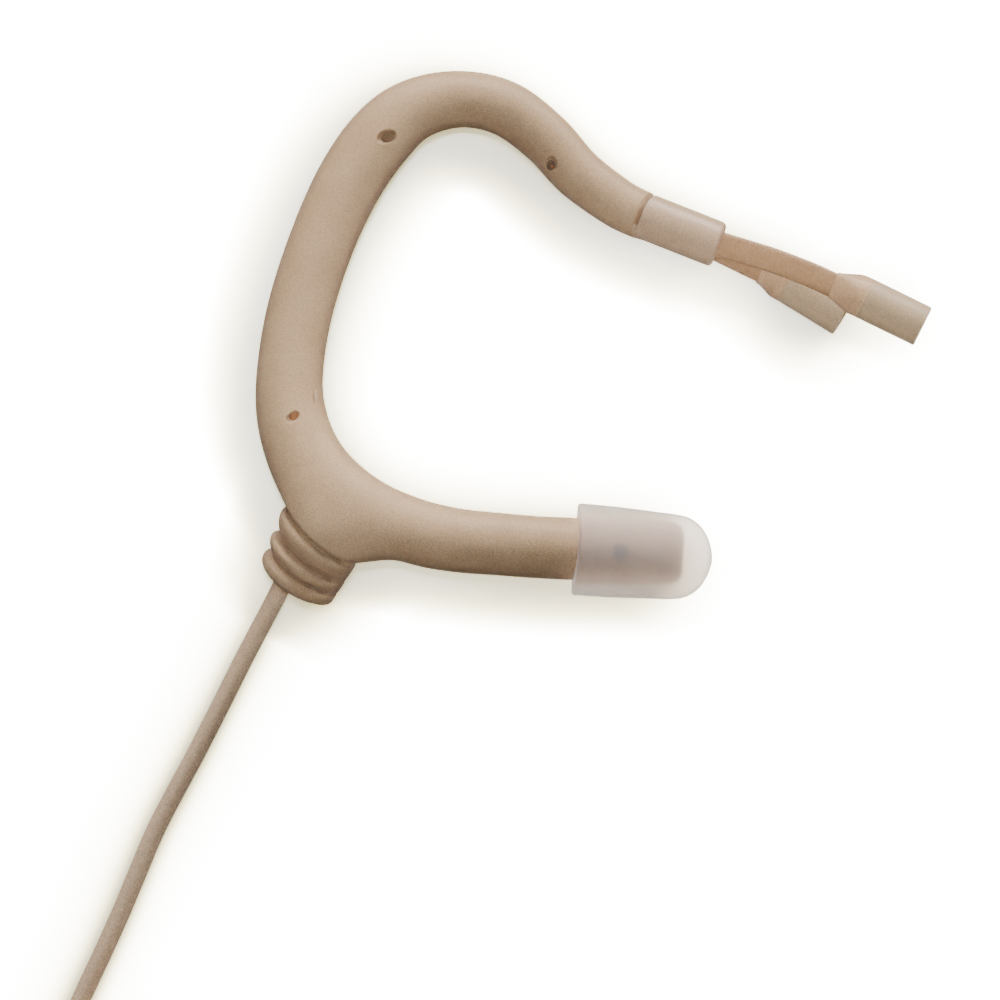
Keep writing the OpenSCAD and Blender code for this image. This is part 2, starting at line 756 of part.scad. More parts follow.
module plug_tip() {
    T = tip_from;
    color(GOLD) at_plug() turned([
        [19, 0], [19, 0.4], [T, 0.4], [T, jack_r], [T + 0.3, jack_r], [T + 0.8, 1.25],
        [T + 1.3, 1.3], [T + 1.9, 1.68], [T + 2.3, 1.55], [shaft_to - 0.3, 0.6],
        [shaft_to - 0.05, 0.3], [shaft_to, 0]]);
}

module plug_insulators() {
    color(BLACK) at_plug() {
        turned([[20, 0.42], [20, 0.62], [ring_to, 0.62], [ring_to, jack_r],
            [tip_from, jack_r], [tip_from, 0.42]]);
        turned([[22, 0.92], [22, 1.2], [sleeve_to, 1.2], [sleeve_to, jack_r],
            [ring_from, jack_r], [ring_from, 0.92]]);
    }
}

flutes = 20;                    // grip flutes round the nut
flute_depth = 0.25;

module coupling_nut() {
    x0 = nut_from;
    x1 = nut_from + nut_len;
    color(NICKEL) at_plug() difference() {
        turned([
            [x0, plug_neck_r + running], [x0, nut_r - 0.4], [x0 + 0.4, nut_r], [x1 - 0.4, nut_r],
            [x1, nut_r - 0.4], [x1, nut_bore_r], [nut_step, nut_bore_r],
            [nut_step, plug_neck_r + running]]);
        for (i = [0:flutes - 1]) {
            rotate([360 / flutes * i, 0, 0])
                translate([x0 + 1.2, 0, nut_r + flute_r - flute_depth])
                    rotate([0, 90, 0]) cylinder(r = flute_r, h = nut_len - 2.4);
        }
    }
}

ear_mount();
strain_relief();
end_collar();
loop_wire();
front_lead();
rear_lead();
junction_board();
cable_crimp();
lower_arm();
arm_wire();
silicone_cap();
front_boom();
front_boom_core();
front_boot();
front_housing();
front_screen();
front_element();
front_diaphragm();
front_preamp_board();
rear_boom();
rear_boom_core();
rear_boot();
rear_housing();
rear_screen();
rear_element();
rear_diaphragm();
rear_preamp_board();
cable_run();
cable_coil();
cable_tie();
cable_tail();
plug_boot();
plug_barrel();
cable_clamp();
plug_neck();
plug_sleeve();
plug_ring();
plug_tip();
plug_insulators();
coupling_nut();
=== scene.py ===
"""Looks of an over-ear headset microphone, lying flat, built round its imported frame.

Shapes are worked out in millimetres and turned into metres as each mesh is made.
"""
import math

import bmesh
import bpy
import numpy as np
from mathutils import Matrix, Vector


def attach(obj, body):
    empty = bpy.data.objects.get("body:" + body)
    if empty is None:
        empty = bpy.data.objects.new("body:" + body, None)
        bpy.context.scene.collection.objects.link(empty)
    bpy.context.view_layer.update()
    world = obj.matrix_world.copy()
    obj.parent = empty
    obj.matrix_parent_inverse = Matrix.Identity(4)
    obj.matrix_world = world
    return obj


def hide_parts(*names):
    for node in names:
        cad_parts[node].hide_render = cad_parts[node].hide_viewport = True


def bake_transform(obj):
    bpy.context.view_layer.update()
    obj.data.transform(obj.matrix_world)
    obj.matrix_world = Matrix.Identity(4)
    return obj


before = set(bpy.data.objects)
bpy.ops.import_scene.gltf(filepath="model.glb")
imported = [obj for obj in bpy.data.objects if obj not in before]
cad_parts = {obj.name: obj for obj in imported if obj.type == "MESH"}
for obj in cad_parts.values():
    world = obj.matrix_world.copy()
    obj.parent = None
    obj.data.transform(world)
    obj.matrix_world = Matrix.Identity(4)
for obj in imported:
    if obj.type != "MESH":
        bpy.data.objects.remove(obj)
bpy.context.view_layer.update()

MM = 0.001

# ---- Curves and rings --------------------------------------------------


def smooth(stations, steps):
    """A smooth path through the stations, with this many steps from each to the next."""
    s = np.array(stations, float)
    last = len(s) - 1
    out = []
    for i in range(last):
        a, b, c, d = s[max(i - 1, 0)], s[i], s[i + 1], s[min(i + 2, last)]
        for j in range(steps):
            t = j / steps
            out.append((2 * b + (c - a) * t + (2 * a - 5 * b + 4 * c - d) * t * t
                        + (3 * b - a - 3 * c + d) * t ** 3) / 2)
    out.append(s[last])
    return np.array(out)


def unit(v):
    return v / np.linalg.norm(v)


def heading(path, i):
    return unit(path[min(i + 1, len(path) - 1)][:3] - path[max(i - 1, 0)][:3])


def section_axes(t):
    side = unit(np.cross([0, 0, 1.0], t))
    return side, np.cross(t, side)


def power(c, e):
    return np.sign(c) * np.abs(c) ** e


def ring(p, t, n, square=1.0):
    """n points round p, square to t; p holds the two half sizes in its places 3 and 4."""
    side, up = section_axes(t)
    a = 2 * math.pi * np.arange(n) / n
    return (np.array(p[:3]) + np.outer(p[3] * power(np.cos(a), square), side)
            + np.outer(p[4] * power(np.sin(a), square), up))


def rings_of(path, n, square=1.0):
    return [ring(path[i], heading(path, i), n, square) for i in range(len(path))]


def resampled(points, step):
    """The line again with even spacing, smoothed between its points."""
    fine = smooth(points, 24)
    along = np.concatenate([[0], np.cumsum(np.linalg.norm(np.diff(fine[:, :3], axis=0), axis=1))])
    at = np.linspace(0, along[-1], max(2, int(round(along[-1] / step)) + 1))
    return np.stack([np.interp(at, along, fine[:, k]) for k in range(fine.shape[1])], axis=1)


# ---- Meshes ------------------------------------------------------------


def add_rows(bm, rings, joined):
    """Faces between neighbouring rings, and from the last to the first where it is joined."""
    rows = [[bm.verts.new(p) for p in r] for r in rings]
    n = len(rows[0])
    for a, b in zip(rows, rows[1:] + (rows[:1] if joined else [])):
        for k in range(n):
            bm.faces.new((a[k], a[(k + 1) % n], b[(k + 1) % n], b[k]))
    return rows


def add_skin(bm, rings):
    """A skin over rings with the same number of points, closed at both ends."""
    rows = add_rows(bm, rings, joined=False)
    bm.faces.new(list(reversed(rows[0])))
    bm.faces.new(rows[-1])


def add_loop_skin(bm, rings):
    """A skin whose last ring joins its first."""
    add_rows(bm, rings, joined=True)


def finished(bm, name, body, material, sharp=None, move=None):
    """Turns a mesh in millimetres into a piece that rides on a body."""
    bmesh.ops.recalc_face_normals(bm, faces=bm.faces)
    mesh = bpy.data.meshes.new(name)
    bm.to_mesh(mesh)
    bm.free()
    if move is not None:
        mesh.transform(move)
    mesh.transform(Matrix.Scale(MM, 4))
    return placed(mesh, name, body, material, sharp)


def placed(mesh, name, body, material, sharp=None):
    """Puts a mesh in metres into the scene. Without a body, the piece is left unattached."""
    piece = bpy.data.objects.new(name, mesh)
    bpy.context.scene.collection.objects.link(piece)
    mesh.shade_smooth()
    if sharp is not None:
        mesh.set_sharp_from_angle(angle=math.radians(sharp))
    mesh.materials.clear()
    mesh.materials.append(material)
    if body:
        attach(piece, body)
    return piece


def lathe(outline, n=96, wave=None):
    """Rings about +X from [distance along, radius] points. wave(angle, x, r) may change r."""
    angles = 2 * math.pi * np.arange(n) / n
    out = []
    for x, r in outline:
        rr = np.full(n, float(r)) if wave is None else np.array([wave(a, x, r) for a in angles])
        out.append(np.stack([np.full(n, float(x)), rr * np.cos(angles), rr * np.sin(angles)],
                            axis=1))
    return out


def arc(centre, r, start, end, steps=6):
    """Points of a rounded corner as [distance along, radius]."""
    return [[centre[0] + r * math.cos(math.radians(start + (end - start) * i / steps)),
             centre[1] + r * math.sin(math.radians(start + (end - start) * i / steps))]
            for i in range(steps + 1)]


def neighbours_of(mesh):
    """The two points of each edge."""
    edges = np.zeros(len(mesh.edges) * 2, np.int64)
    mesh.edges.foreach_get("vertices", edges)
    return edges.reshape(-1, 2)


def points_of(mesh):
    co = np.zeros(len(mesh.vertices) * 3)
    mesh.vertices.foreach_get("co", co)
    return co.reshape(-1, 3)


def relaxed(co, edges, weight, rounds):
    """Moves each point towards the middle of its neighbours, by its own weight."""
    n = len(co)
    count = np.bincount(edges.ravel(), minlength=n)[:, None]
    for _ in range(rounds):
        total = np.stack([np.bincount(edges[:, 0], co[edges[:, 1], k], n)
                          + np.bincount(edges[:, 1], co[edges[:, 0], k], n)
                          for k in range(3)], axis=1)
        co = co + weight[:, None] * (total / np.maximum(count, 1) - co)
    return co


def evaluated(piece):
    """A piece's mesh with its modifiers applied."""
    bpy.context.view_layer.update()
    deps = bpy.context.evaluated_depsgraph_get()
    return bpy.data.meshes.new_from_object(piece.evaluated_get(deps))


def scratch(mesh_or_bm, name="scratch"):
    mesh = mesh_of(mesh_or_bm) if isinstance(mesh_or_bm, bmesh.types.BMesh) else mesh_or_bm
    piece = bpy.data.objects.new(name, mesh)
    bpy.context.scene.collection.objects.link(piece)
    return piece


def mesh_of(bm):
    mesh = bpy.data.meshes.new("scratch")
    bmesh.ops.recalc_face_normals(bm, faces=bm.faces)
    bm.to_mesh(mesh)
    bm.free()
    return mesh


def remeshed(bm, voxel):
    """One skin round everything in the mesh."""
    piece = scratch(bm)
    m = piece.modifiers.new("voxels", "REMESH")
    m.mode = "VOXEL"
    m.voxel_size = voxel
    mesh = evaluated(piece)
    bpy.data.objects.remove(piece)
    return mesh


def cut(mesh, bm_cutters):
    """The mesh with the cutters taken out of it."""
    piece, tools = scratch(mesh), scratch(bm_cutters, "cutters")
    m = piece.modifiers.new("cut", "BOOLEAN")
    m.operation, m.solver, m.object = "DIFFERENCE", "EXACT", tools
    made = evaluated(piece)
    bpy.data.objects.remove(piece)
    bpy.data.objects.remove(tools)
    return made


# ---- Camera ------------------------------------------------------------

VIEW_CENTRE = (-9.25, -16.05)
VIEW_WIDTH = 100.0
VIEW_PLANE = 4.0          # the view is this wide at this height
LENS = 200.0
SENSOR = 36.0

camera_data = bpy.data.cameras.new("camera")
camera_data.lens = LENS
camera_data.sensor_width = SENSOR
camera_data.clip_start = 0.05
camera_data.clip_end = 10
camera = bpy.data.objects.new("camera", camera_data)
bpy.context.scene.collection.objects.link(camera)
camera.location = (VIEW_CENTRE[0] * MM, VIEW_CENTRE[1] * MM,
                   (VIEW_PLANE + VIEW_WIDTH * LENS / SENSOR) * MM)
bpy.context.scene.camera = camera

# ---- Materials ---------------------------------------------------------


def new_material(name):
    m = bpy.data.materials.new(name)
    m.use_nodes = True
    nodes = m.node_tree.nodes
    nodes.clear()
    out = nodes.new("ShaderNodeOutputMaterial")
    shader = nodes.new("ShaderNodeBsdfPrincipled")
    m.node_tree.links.new(shader.outputs[0], out.inputs["Surface"])
    return m, m.node_tree, shader


def noise(tree, scale, detail=2.0, roughness=0.5, kind="ShaderNodeTexNoise"):
    """Noise with this many features a millimetre, in the object's own space."""
    place = tree.nodes.new("ShaderNodeTexCoord")
    n = tree.nodes.new(kind)
    n.inputs["Scale"].default_value = scale / MM
    if kind == "ShaderNodeTexNoise":
        n.inputs["Detail"].default_value = detail
        n.inputs["Roughness"].default_value = roughness
    tree.links.new(place.outputs["Object"], n.inputs["Vector"])
    return n


def mapped(tree, value, low, high, to_low, to_high):
    m = tree.nodes.new("ShaderNodeMapRange")
    m.inputs["From Min"].default_value = low
    m.inputs["From Max"].default_value = high
    m.inputs["To Min"].default_value = to_low
    m.inputs["To Max"].default_value = to_high
    tree.links.new(value, m.inputs["Value"])
    return m.outputs["Result"]


def mixed(tree, factor, a, b):
    m = tree.nodes.new("ShaderNodeMix")
    m.data_type = "RGBA"
    m.inputs["A"].default_value = (*a, 1)
    m.inputs["B"].default_value = (*b, 1)
    tree.links.new(factor, m.inputs["Factor"])
    return m.outputs["Result"]


def bumped(tree, height, depth_mm, below=None):
    b = tree.nodes.new("ShaderNodeBump")
    b.inputs["Strength"].default_value = 1.0
    b.inputs["Distance"].default_value = depth_mm * MM
    tree.links.new(height, b.inputs["Height"])
    if below is not None:
        tree.links.new(below, b.inputs["Normal"])
    return b.outputs["Normal"]


SPECKLE = 0.3             # how much darker the specks of a soft plastic are


def soft_plastic(name, colour, darker, rough=0.5, grain=5.0, grain_depth=0.026, cloud=0.35,
                 cloud_depth=0.03, specular=0.4):
    """Moulded rubber or plastic: a cloudy, speckled colour, a fine grain and uneven gloss."""
    m, tree, shader = new_material(name)
    clouds = noise(tree, cloud, 3)
    fine = noise(tree, grain, 3, 0.6)
    specks = noise(tree, grain * 1.3, 2, 0.7)
    speckled = tree.nodes.new("ShaderNodeMix")
    speckled.data_type = "RGBA"
    speckled.blend_type = "MULTIPLY"
    speckled.inputs["B"].default_value = (1 - SPECKLE, 1 - SPECKLE, 1 - SPECKLE, 1)
    tree.links.new(mapped(tree, specks.outputs["Fac"], 0.35, 0.65, 1, 0), speckled.inputs["Factor"])
    tree.links.new(mixed(tree, mapped(tree, clouds.outputs["Fac"], 0.3, 0.7, 0, 1), darker, colour),
                   speckled.inputs["A"])
    tree.links.new(speckled.outputs["Result"], shader.inputs["Base Color"])
    tree.links.new(mapped(tree, fine.outputs["Fac"], 0.3, 0.7, rough - 0.06, rough + 0.08),
                   shader.inputs["Roughness"])
    waves = bumped(tree, clouds.outputs["Fac"], cloud_depth)
    tree.links.new(bumped(tree, fine.outputs["Fac"], grain_depth, waves), shader.inputs["Normal"])
    shader.inputs["Specular IOR Level"].default_value = specular
    return m


STREAKS = 2.0             # streaks a millimetre on metal
STREAK_DEPTH = 0.002


def metal(name, colour, rough, stretch=(1, 1, 1)):
    """Turned or drawn metal with fine streaks."""
    m, tree, shader = new_material(name)
    place = tree.nodes.new("ShaderNodeTexCoord")
    squeeze = tree.nodes.new("ShaderNodeMapping")
    squeeze.inputs["Scale"].default_value = stretch
    n = tree.nodes.new("ShaderNodeTexNoise")
    n.inputs["Scale"].default_value = STREAKS / MM
    n.inputs["Detail"].default_value = 3
    tree.links.new(place.outputs["Object"], squeeze.inputs["Vector"])
    tree.links.new(squeeze.outputs["Vector"], n.inputs["Vector"])
    wear = noise(tree, 0.4, 2)
    tree.links.new(mixed(tree, mapped(tree, wear.outputs["Fac"], 0.35, 0.65, 0, 1),
                         tuple(0.86 * c for c in colour), colour), shader.inputs["Base Color"])
    tree.links.new(mapped(tree, n.outputs["Fac"], 0.3, 0.7, rough - 0.06, rough + 0.1),
                   shader.inputs["Roughness"])
    tree.links.new(bumped(tree, n.outputs["Fac"], STREAK_DEPTH), shader.inputs["Normal"])
    shader.inputs["Metallic"].default_value = 1.0
    return m


def board_material():
    """Green solder mask with copper pads."""
    m, tree, shader = new_material("board_green")
    pads = noise(tree, 1.3, kind="ShaderNodeTexVoronoi")
    share = mapped(tree, pads.outputs["Distance"], 0.22, 0.26, 0, 1)
    tree.links.new(mixed(tree, share, (0.6, 0.36, 0.16), (0.02, 0.14, 0.06)),
                   shader.inputs["Base Color"])
    tree.links.new(mapped(tree, share, 0, 1, 0.25, 0.4), shader.inputs["Roughness"])
    return m


def silicone_material():
    """Milky see-through silicone: part clear, part white, and frosted, so its inside looks soft."""
    m, tree, shader = new_material("clear_silicone")
    clouds = noise(tree, 0.25, 3)
    fine = noise(tree, 6, 3)
    tree.links.new(mixed(tree, mapped(tree, clouds.outputs["Fac"], 0.3, 0.7, 0, 1),
                         (0.42, 0.375, 0.37), (0.47, 0.425, 0.42)), shader.inputs["Base Color"])
    tree.links.new(mapped(tree, clouds.outputs["Fac"], 0.3, 0.7, 0.62, 0.69),
                   shader.inputs["Transmission Weight"])
    tree.links.new(mapped(tree, fine.outputs["Fac"], 0.3, 0.7, 0.29, 0.32),
                   shader.inputs["Roughness"])
    tree.links.new(bumped(tree, clouds.outputs["Fac"], 0.08), shader.inputs["Normal"])
    shader.inputs["IOR"].default_value = 1.12
    shader.inputs["Specular IOR Level"].default_value = 0.6
    return m


def fabric_material():
    """Black hook and loop tape: a crossed weave with loose fibres."""
    m, tree, shader = new_material("tie_fabric")
    place = tree.nodes.new("ShaderNodeTexCoord")
    heights = []
    for axis in ("X", "Y", "Z"):
        w = tree.nodes.new("ShaderNodeTexWave")
        w.bands_direction = axis
        w.inputs["Scale"].default_value = 0.9 / MM
        w.inputs["Distortion"].default_value = 1.2
        w.inputs["Detail"].default_value = 1
        tree.links.new(place.outputs["Object"], w.inputs["Vector"])
        heights.append(w.outputs["Fac"])
    total = tree.nodes.new("ShaderNodeMath")
    total.operation = "MULTIPLY"
    tree.links.new(heights[0], total.inputs[0])
    tree.links.new(heights[1], total.inputs[1])
    both = tree.nodes.new("ShaderNodeMath")
    both.operation = "ADD"
    tree.links.new(total.outputs[0], both.inputs[0])
    tree.links.new(heights[2], both.inputs[1])
    fibre = noise(tree, 8, 4, 0.7)
    tree.links.new(mixed(tree, mapped(tree, both.outputs[0], 0.2, 1.4, 0, 1), (0.008, 0.008, 0.009),
                         (0.035, 0.035, 0.038)), shader.inputs["Base Color"])
    tree.links.new(bumped(tree, fibre.outputs["Fac"], 0.05,
                          bumped(tree, both.outputs[0], 0.08)), shader.inputs["Normal"])
    shader.inputs["Roughness"].default_value = 0.9
    shader.inputs["Sheen Weight"].default_value = 0.5
    return m


def mesh_screen_material():
    """A fine woven steel screen; its gaps are painted near-black, as painted shade of the inside
    seen through them.
    """
    m, tree, shader = new_material("screen_mesh")
    holes = noise(tree, 4.5, kind="ShaderNodeTexVoronoi")
    holes.inputs["Randomness"].default_value = 0.1
    share = mapped(tree, holes.outputs["Distance"], 0.3, 0.42, 0, 1)
    tree.links.new(mixed(tree, share, (0.01, 0.01, 0.01), (0.6, 0.6, 0.6)),
                   shader.inputs["Base Color"])
    tree.links.new(share, shader.inputs["Metallic"])
    tree.links.new(bumped(tree, share, 0.05), shader.inputs["Normal"])
    shader.inputs["Roughness"].default_value = 0.35
    return m


TAN = soft_plastic("skin_moulding", (0.365, 0.242, 0.14), (0.335, 0.22, 0.125), rough=0.45,
                   specular=0.18)
TAN_COLLAR = soft_plastic("skin_collar", (0.375, 0.25, 0.155), (0.345, 0.228, 0.14), rough=0.4,
                          specular=0.45)
PEACH = soft_plastic("boom_jacket", (0.31, 0.18, 0.09), (0.29, 0.165, 0.082), specular=0.3)
PEACH_BOOT = soft_plastic("boom_boot", (0.42, 0.262, 0.145), (0.395, 0.243, 0.133), rough=0.42,
                          specular=0.35)
GREY_TAN = soft_plastic("capsule_shell", (0.36, 0.255, 0.15), (0.335, 0.235, 0.138),
                        grain_depth=0.01, cloud_depth=0.01)
CABLE = soft_plastic("cable_jacket", (0.70, 0.51, 0.34), (0.66, 0.475, 0.315), rough=0.45,
                     grain=4, cloud=0.12, cloud_depth=0.06)
# painted shade: the dark brown that the skin shows deep in a pin hole
HOLE_SHADE_BROWN = soft_plastic("pin_hole_floor", (0.15, 0.085, 0.038), (0.09, 0.05, 0.022))
# painted shade: a near-black disc that stands for the dark inside of the arm's hole
HOLE_SHADE_DARK = soft_plastic("skin_hole_painted_shade", (0.03, 0.017, 0.014), (0.02, 0.012, 0.01), rough=0.7,
                         specular=0.1)
# the copper core seen in the limb's hole, and also the painted glint of the lighter nub in the
# slope's hole
HOLE_COPPER_AND_GLINT = soft_plastic("core_glimpse_and_glint", (0.34, 0.15, 0.058), (0.26, 0.105, 0.04), rough=0.6)
# painted shade for the deep middles of the boot's grooves
SHADED_TAN = soft_plastic("skin_groove_painted_shade", (0.27, 0.168, 0.092), (0.24, 0.15, 0.08), rough=0.6)
# the collar groove's floor: partly a brownish seam line, partly painted shade in the groove
SEAM_AND_SHADE = soft_plastic("collar_seam_and_shade", (0.24, 0.145, 0.078), (0.2, 0.12, 0.062), rough=0.6)
SILICONE = silicone_material()
COPPER = metal("copper_wire", (0.82, 0.42, 0.24), 0.3)
STEEL = metal("stainless", (0.66, 0.66, 0.67), 0.25)
NICKEL = metal("satin_nickel", (0.70, 0.69, 0.66), 0.24, stretch=(6, 0.5, 0.5))
GOLD = metal("gold_contact", (0.9, 0.62, 0.25), 0.16, stretch=(6, 0.5, 0.5))
RUBBER = soft_plastic("black_rubber", (0.018, 0.018, 0.019), (0.012, 0.012, 0.013), rough=0.55,
                      grain=8, specular=0.35)
PLASTIC = soft_plastic("black_plastic", (0.02, 0.02, 0.021), (0.014, 0.014, 0.015), rough=0.35)
BOARD = board_material()
FABRIC = fabric_material()
SCREEN = mesh_screen_material()

CAD_LOOKS = {
    "end_collar": TAN_COLLAR, "loop_wire": COPPER, "front_lead": PLASTIC, "rear_lead": PLASTIC,
    "junction_board": BOARD, "cable_crimp": STEEL, "arm_wire": COPPER, "front_boom_core": COPPER,
    "rear_boom_core": COPPER, "front_screen": SCREEN, "rear_screen": SCREEN,
    "front_element": NICKEL, "rear_element": NICKEL, "front_diaphragm": GOLD,
    "rear_diaphragm": GOLD, "front_preamp_board": BOARD, "rear_preamp_board": BOARD,
    "cable_clamp": STEEL, "plug_neck": NICKEL, "plug_sleeve": GOLD, "plug_ring": GOLD,
    "plug_tip": GOLD, "plug_insulators": PLASTIC, "coupling_nut": NICKEL}
for node_name, look in CAD_LOOKS.items():
    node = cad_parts[node_name]
    node.data.materials.clear()
    node.data.materials.append(look)

# ---- Cable: the stretch in view, the coil past the view's edge, and the tail to the plug ----

CABLE_D = 1.9
cable_points = [
    [-27.3, -17.4, 5.0], [-28.2, -19.3, 4.75], [-29.5, -21.7, 4.1], [-30.75, -23.9, 3.3],
    [-31.7, -25.8, 2.6], [-33.3, -28.8, 1.65], [-35.2, -32.4, 1.1], [-37.3, -36.6, 0.95],
    [-39.8, -41.5, 0.95], [-41.9, -45.4, 0.95], [-43.9, -49.3, 0.95], [-45.6, -53.3, 0.95],
    [-47.4, -57.6, 0.95], [-49.3, -61.8, 0.95], [-51.3, -66.1, 0.95], [-53.2, -70.6, 0.95],
    [-54.5, -75.2, 0.95], [-55.2, -80.4, 0.98]]
coil_centre = np.array([-40.95, -86.0])
coil_mid_r = 10.5
coil_floor = 0.3          # the ties pass under the coil
turns_wide = 5
turns_high = 4
pitch_out = 1.92
pitch_up = 1.9
shift_first = 24.0        # degrees into each turn where the first kind of shift starts
shift_apart = 46.0
shift_long = 50.0


def eased(t):
    t = min(max(t, 0.0), 1.0)
    return 0.5 - 0.5 * math.cos(math.pi * t)


def coil_point(turns):
    """A point of the winding after this many turns. It starts outermost in the lowest layer,
    and each layer runs the other way from the one below."""
    n = int(turns)
    degrees = (turns - n) * 360
    layer, place = divmod(n, turns_wide)
    column = place if layer % 2 == 0 else turns_wide - 1 - place
    last_in_layer = place == turns_wide - 1
    # shifts of upper layers come first in each turn, so that no two turns meet
    order = 2 * (turns_high - 1 - layer) - (1 if last_in_layer else 0)
    moved = eased((degrees - shift_first - shift_apart * order) / shift_long)
    up = layer
    if last_in_layer:
        up = layer + moved
    else:
        column = column + (moved if layer % 2 == 0 else -moved)
    r = coil_mid_r + (turns_wide - 1) / 2 * pitch_out - column * pitch_out
    a = math.radians(180 + turns * 360)
    return [coil_centre[0] + r * math.cos(a), coil_centre[1] + r * math.sin(a),
            coil_floor + CABLE_D / 2 + up * pitch_up]


coil_turns = turns_wide * turns_high - 0.75
coil_points = [coil_point(i / 48) for i in range(int(coil_turns * 48) + 1)]
tail_points = [
    [-36.5, -100.75, 6.85], [-32.2, -101.2, 5.6], [-28.4, -101.1, 3.3], [-24.8, -100.6, 1.5],
    [-21.0, -99.9, 0.98], [-17.0, -99.1, 1.3], [-13.2, -98.7, 2.4], [-9.6, -98.6, 3.6],
    [-6.4, -98.6, 3.98], [-3.0, -98.6, 4.0], [5.0, -98.6, 4.0]]
cable_line = np.concatenate([resampled(cable_points + [coil_points[0]], 0.7)[:-1],
                             np.array(coil_points)[:-1],
                             resampled([coil_points[-1]] + tail_points, 0.8)])
bm = bmesh.new()
add_skin(bm, rings_of(np.hstack([cable_line, np.full((len(cable_line), 2), CABLE_D / 2)]), 18))
cable = finished(bm, "cable", "headset", CABLE)
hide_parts("cable_run", "cable_coil", "cable_tail")

# ---- Ties round the coil ------------------------------------------------

tie_width = 3.0


def rounded_box(half_w, half_h, r, n=8):
    """Points round a rounded rectangle, counter-clockwise."""
    out = []
    for cx, cy, a0 in ((half_w - r, half_h - r, 0), (r - half_w, half_h - r, 90),
                       (r - half_w, r - half_h, 180), (half_w - r, r - half_h, 270)):
        for i in range(n + 1):
            a = math.radians(a0 + 90 * i / n)
            out.append([cx + r * math.cos(a), cy + r * math.sin(a)])
    return np.array(out)


def add_tie(bm, degrees):
    """A strap round the bundle, with its end laid over itself."""
    a = math.radians(degrees)
    out = np.array([math.cos(a), math.sin(a), 0])
    along = np.array([-math.sin(a), math.cos(a), 0])
    middle = np.array([coil_centre[0], coil_centre[1], 0]) + coil_mid_r * out
    middle[2] = coil_floor + turns_high * pitch_up / 2
    half_w, half_h = turns_wide * pitch_out / 2, turns_high * pitch_up / 2
    inner = rounded_box(half_w + 0.02, half_h + 0.02, 1.6)
    outer = rounded_box(half_w + 0.25, half_h + 0.25, 1.75)
    rings = []
    for near, far in zip(inner, outer):
        rings.append([middle + flat[0] * out + np.array([0, 0, flat[1]])
                      + shift * tie_width / 2 * along
                      for flat, shift in ((near, -1), (far, -1), (far, 1), (near, 1))])
    add_loop_skin(bm, rings)


bm = bmesh.new()
add_tie(bm, 45.5)
add_tie(bm, 225.5)
tie = finished(bm, "cable_ties", "headset", FABRIC, sharp=40)
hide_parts("cable_tie")

# ---- Ear loop, junction and lower arm -----------------------------------

mouth = np.array([12.65, 9.4, 4.3])
collar_heading = -21.7
collar_rise = 3
collar_len = 8.1
collar_r = 2.33
collar_axis = np.array([
    math.cos(math.radians(collar_heading)) * math.cos(math.radians(collar_rise)),
    math.sin(math.radians(collar_heading)) * math.cos(math.radians(collar_rise)),
    math.sin(math.radians(collar_rise))])
collar_root = mouth - collar_len * collar_axis
loop_stations = [
    [*(collar_root + 0.9 * collar_axis), 2.4, 2.4],
    [collar_root[0] - collar_axis[0], collar_root[1] - collar_axis[1], collar_root[2] - 0.05,
     2.45, 2.45],
    [2.3, 13.8, 3.7, 2.5, 2.5], [-1.4, 16.6, 3.4, 2.6, 2.6], [-4.7, 20.2, 3.1, 2.7, 2.7],
    [-8.7, 23.15, 3.0, 2.8, 2.8], [-13.2, 24.1, 3.0, 2.85, 2.85], [-17.7, 23.1, 3.2, 3.1, 3.0],
    [-21.0, 20.5, 3.4, 3.4, 3.2], [-24.2, 16.0, 3.4, 3.4, 3.2], [-27.0, 10.0, 3.4, 3.3, 3.2],
    [-29.3, 2.8, 3.6, 3.3, 3.2], [-30.3, -4.0, 4.1, 3.35, 3.3], [-29.8, -8.8, 4.6, 3.6, 3.5],
    [-28.0, -13.0, 5.0, 3.9, 3.8], [-25.0, -16.2, 5.2, 4.0, 4.0], [-22.0, -17.9, 5.15, 3.8, 3.8],
    [-19.0, -18.8, 5.05, 3.4, 3.4]]
LOOP_STEPS = 12
loop_path = smooth(loop_stations, LOOP_STEPS)
cap_heading = -2.8
cap_rim = np.array([-1.8, -20.95, 4.55])
cap_axis = np.array([math.cos(math.radians(cap_heading)), math.sin(math.radians(cap_heading)), 0])
arm_plug_len = 10.8
arm_rim_r = 3.12
arm_tip_r = 2.8
tip_round = 1.2


def arm_r(d):
    """The lower arm's radius this far inside the cap's rim."""
    return arm_rim_r - (arm_rim_r - arm_tip_r) * max(d, 0) / arm_plug_len


def arm_station(d, r):
    return [*(cap_rim + d * cap_axis), r, r]


arm_stations = [loop_stations[-2], loop_stations[-1], [-16.2, -19.6, 4.9, 3.28, 3.25],
                [-13.0, -20.15, 4.8, 3.2, 3.15], [-9.5, -20.45, 4.65, 3.15, 3.1]]
arm_stations += [arm_station(d, arm_r(d)) for d in (-4, 0, 4, arm_plug_len - tip_round)]
arm_end = [arm_station(arm_plug_len - tip_round + tip_round * math.sin(math.radians(a)),
                       arm_r(arm_plug_len) - tip_round + tip_round * math.cos(math.radians(a)))
           for a in (15, 30, 45, 60, 75, 88)]
arm_path = np.concatenate([smooth(arm_stations, LOOP_STEPS), arm_end])

boot_root = np.array([-26.99, -19.07, 5.22])
boot_end = np.array([-29.75, -24.4, 3.5])
boot_yaw = (-132.0, -122.0)
boot_dip = math.radians(21)
boot_root_half = np.array([4.75, 3.9])
boot_end_half = np.array([4.1, 3.5])


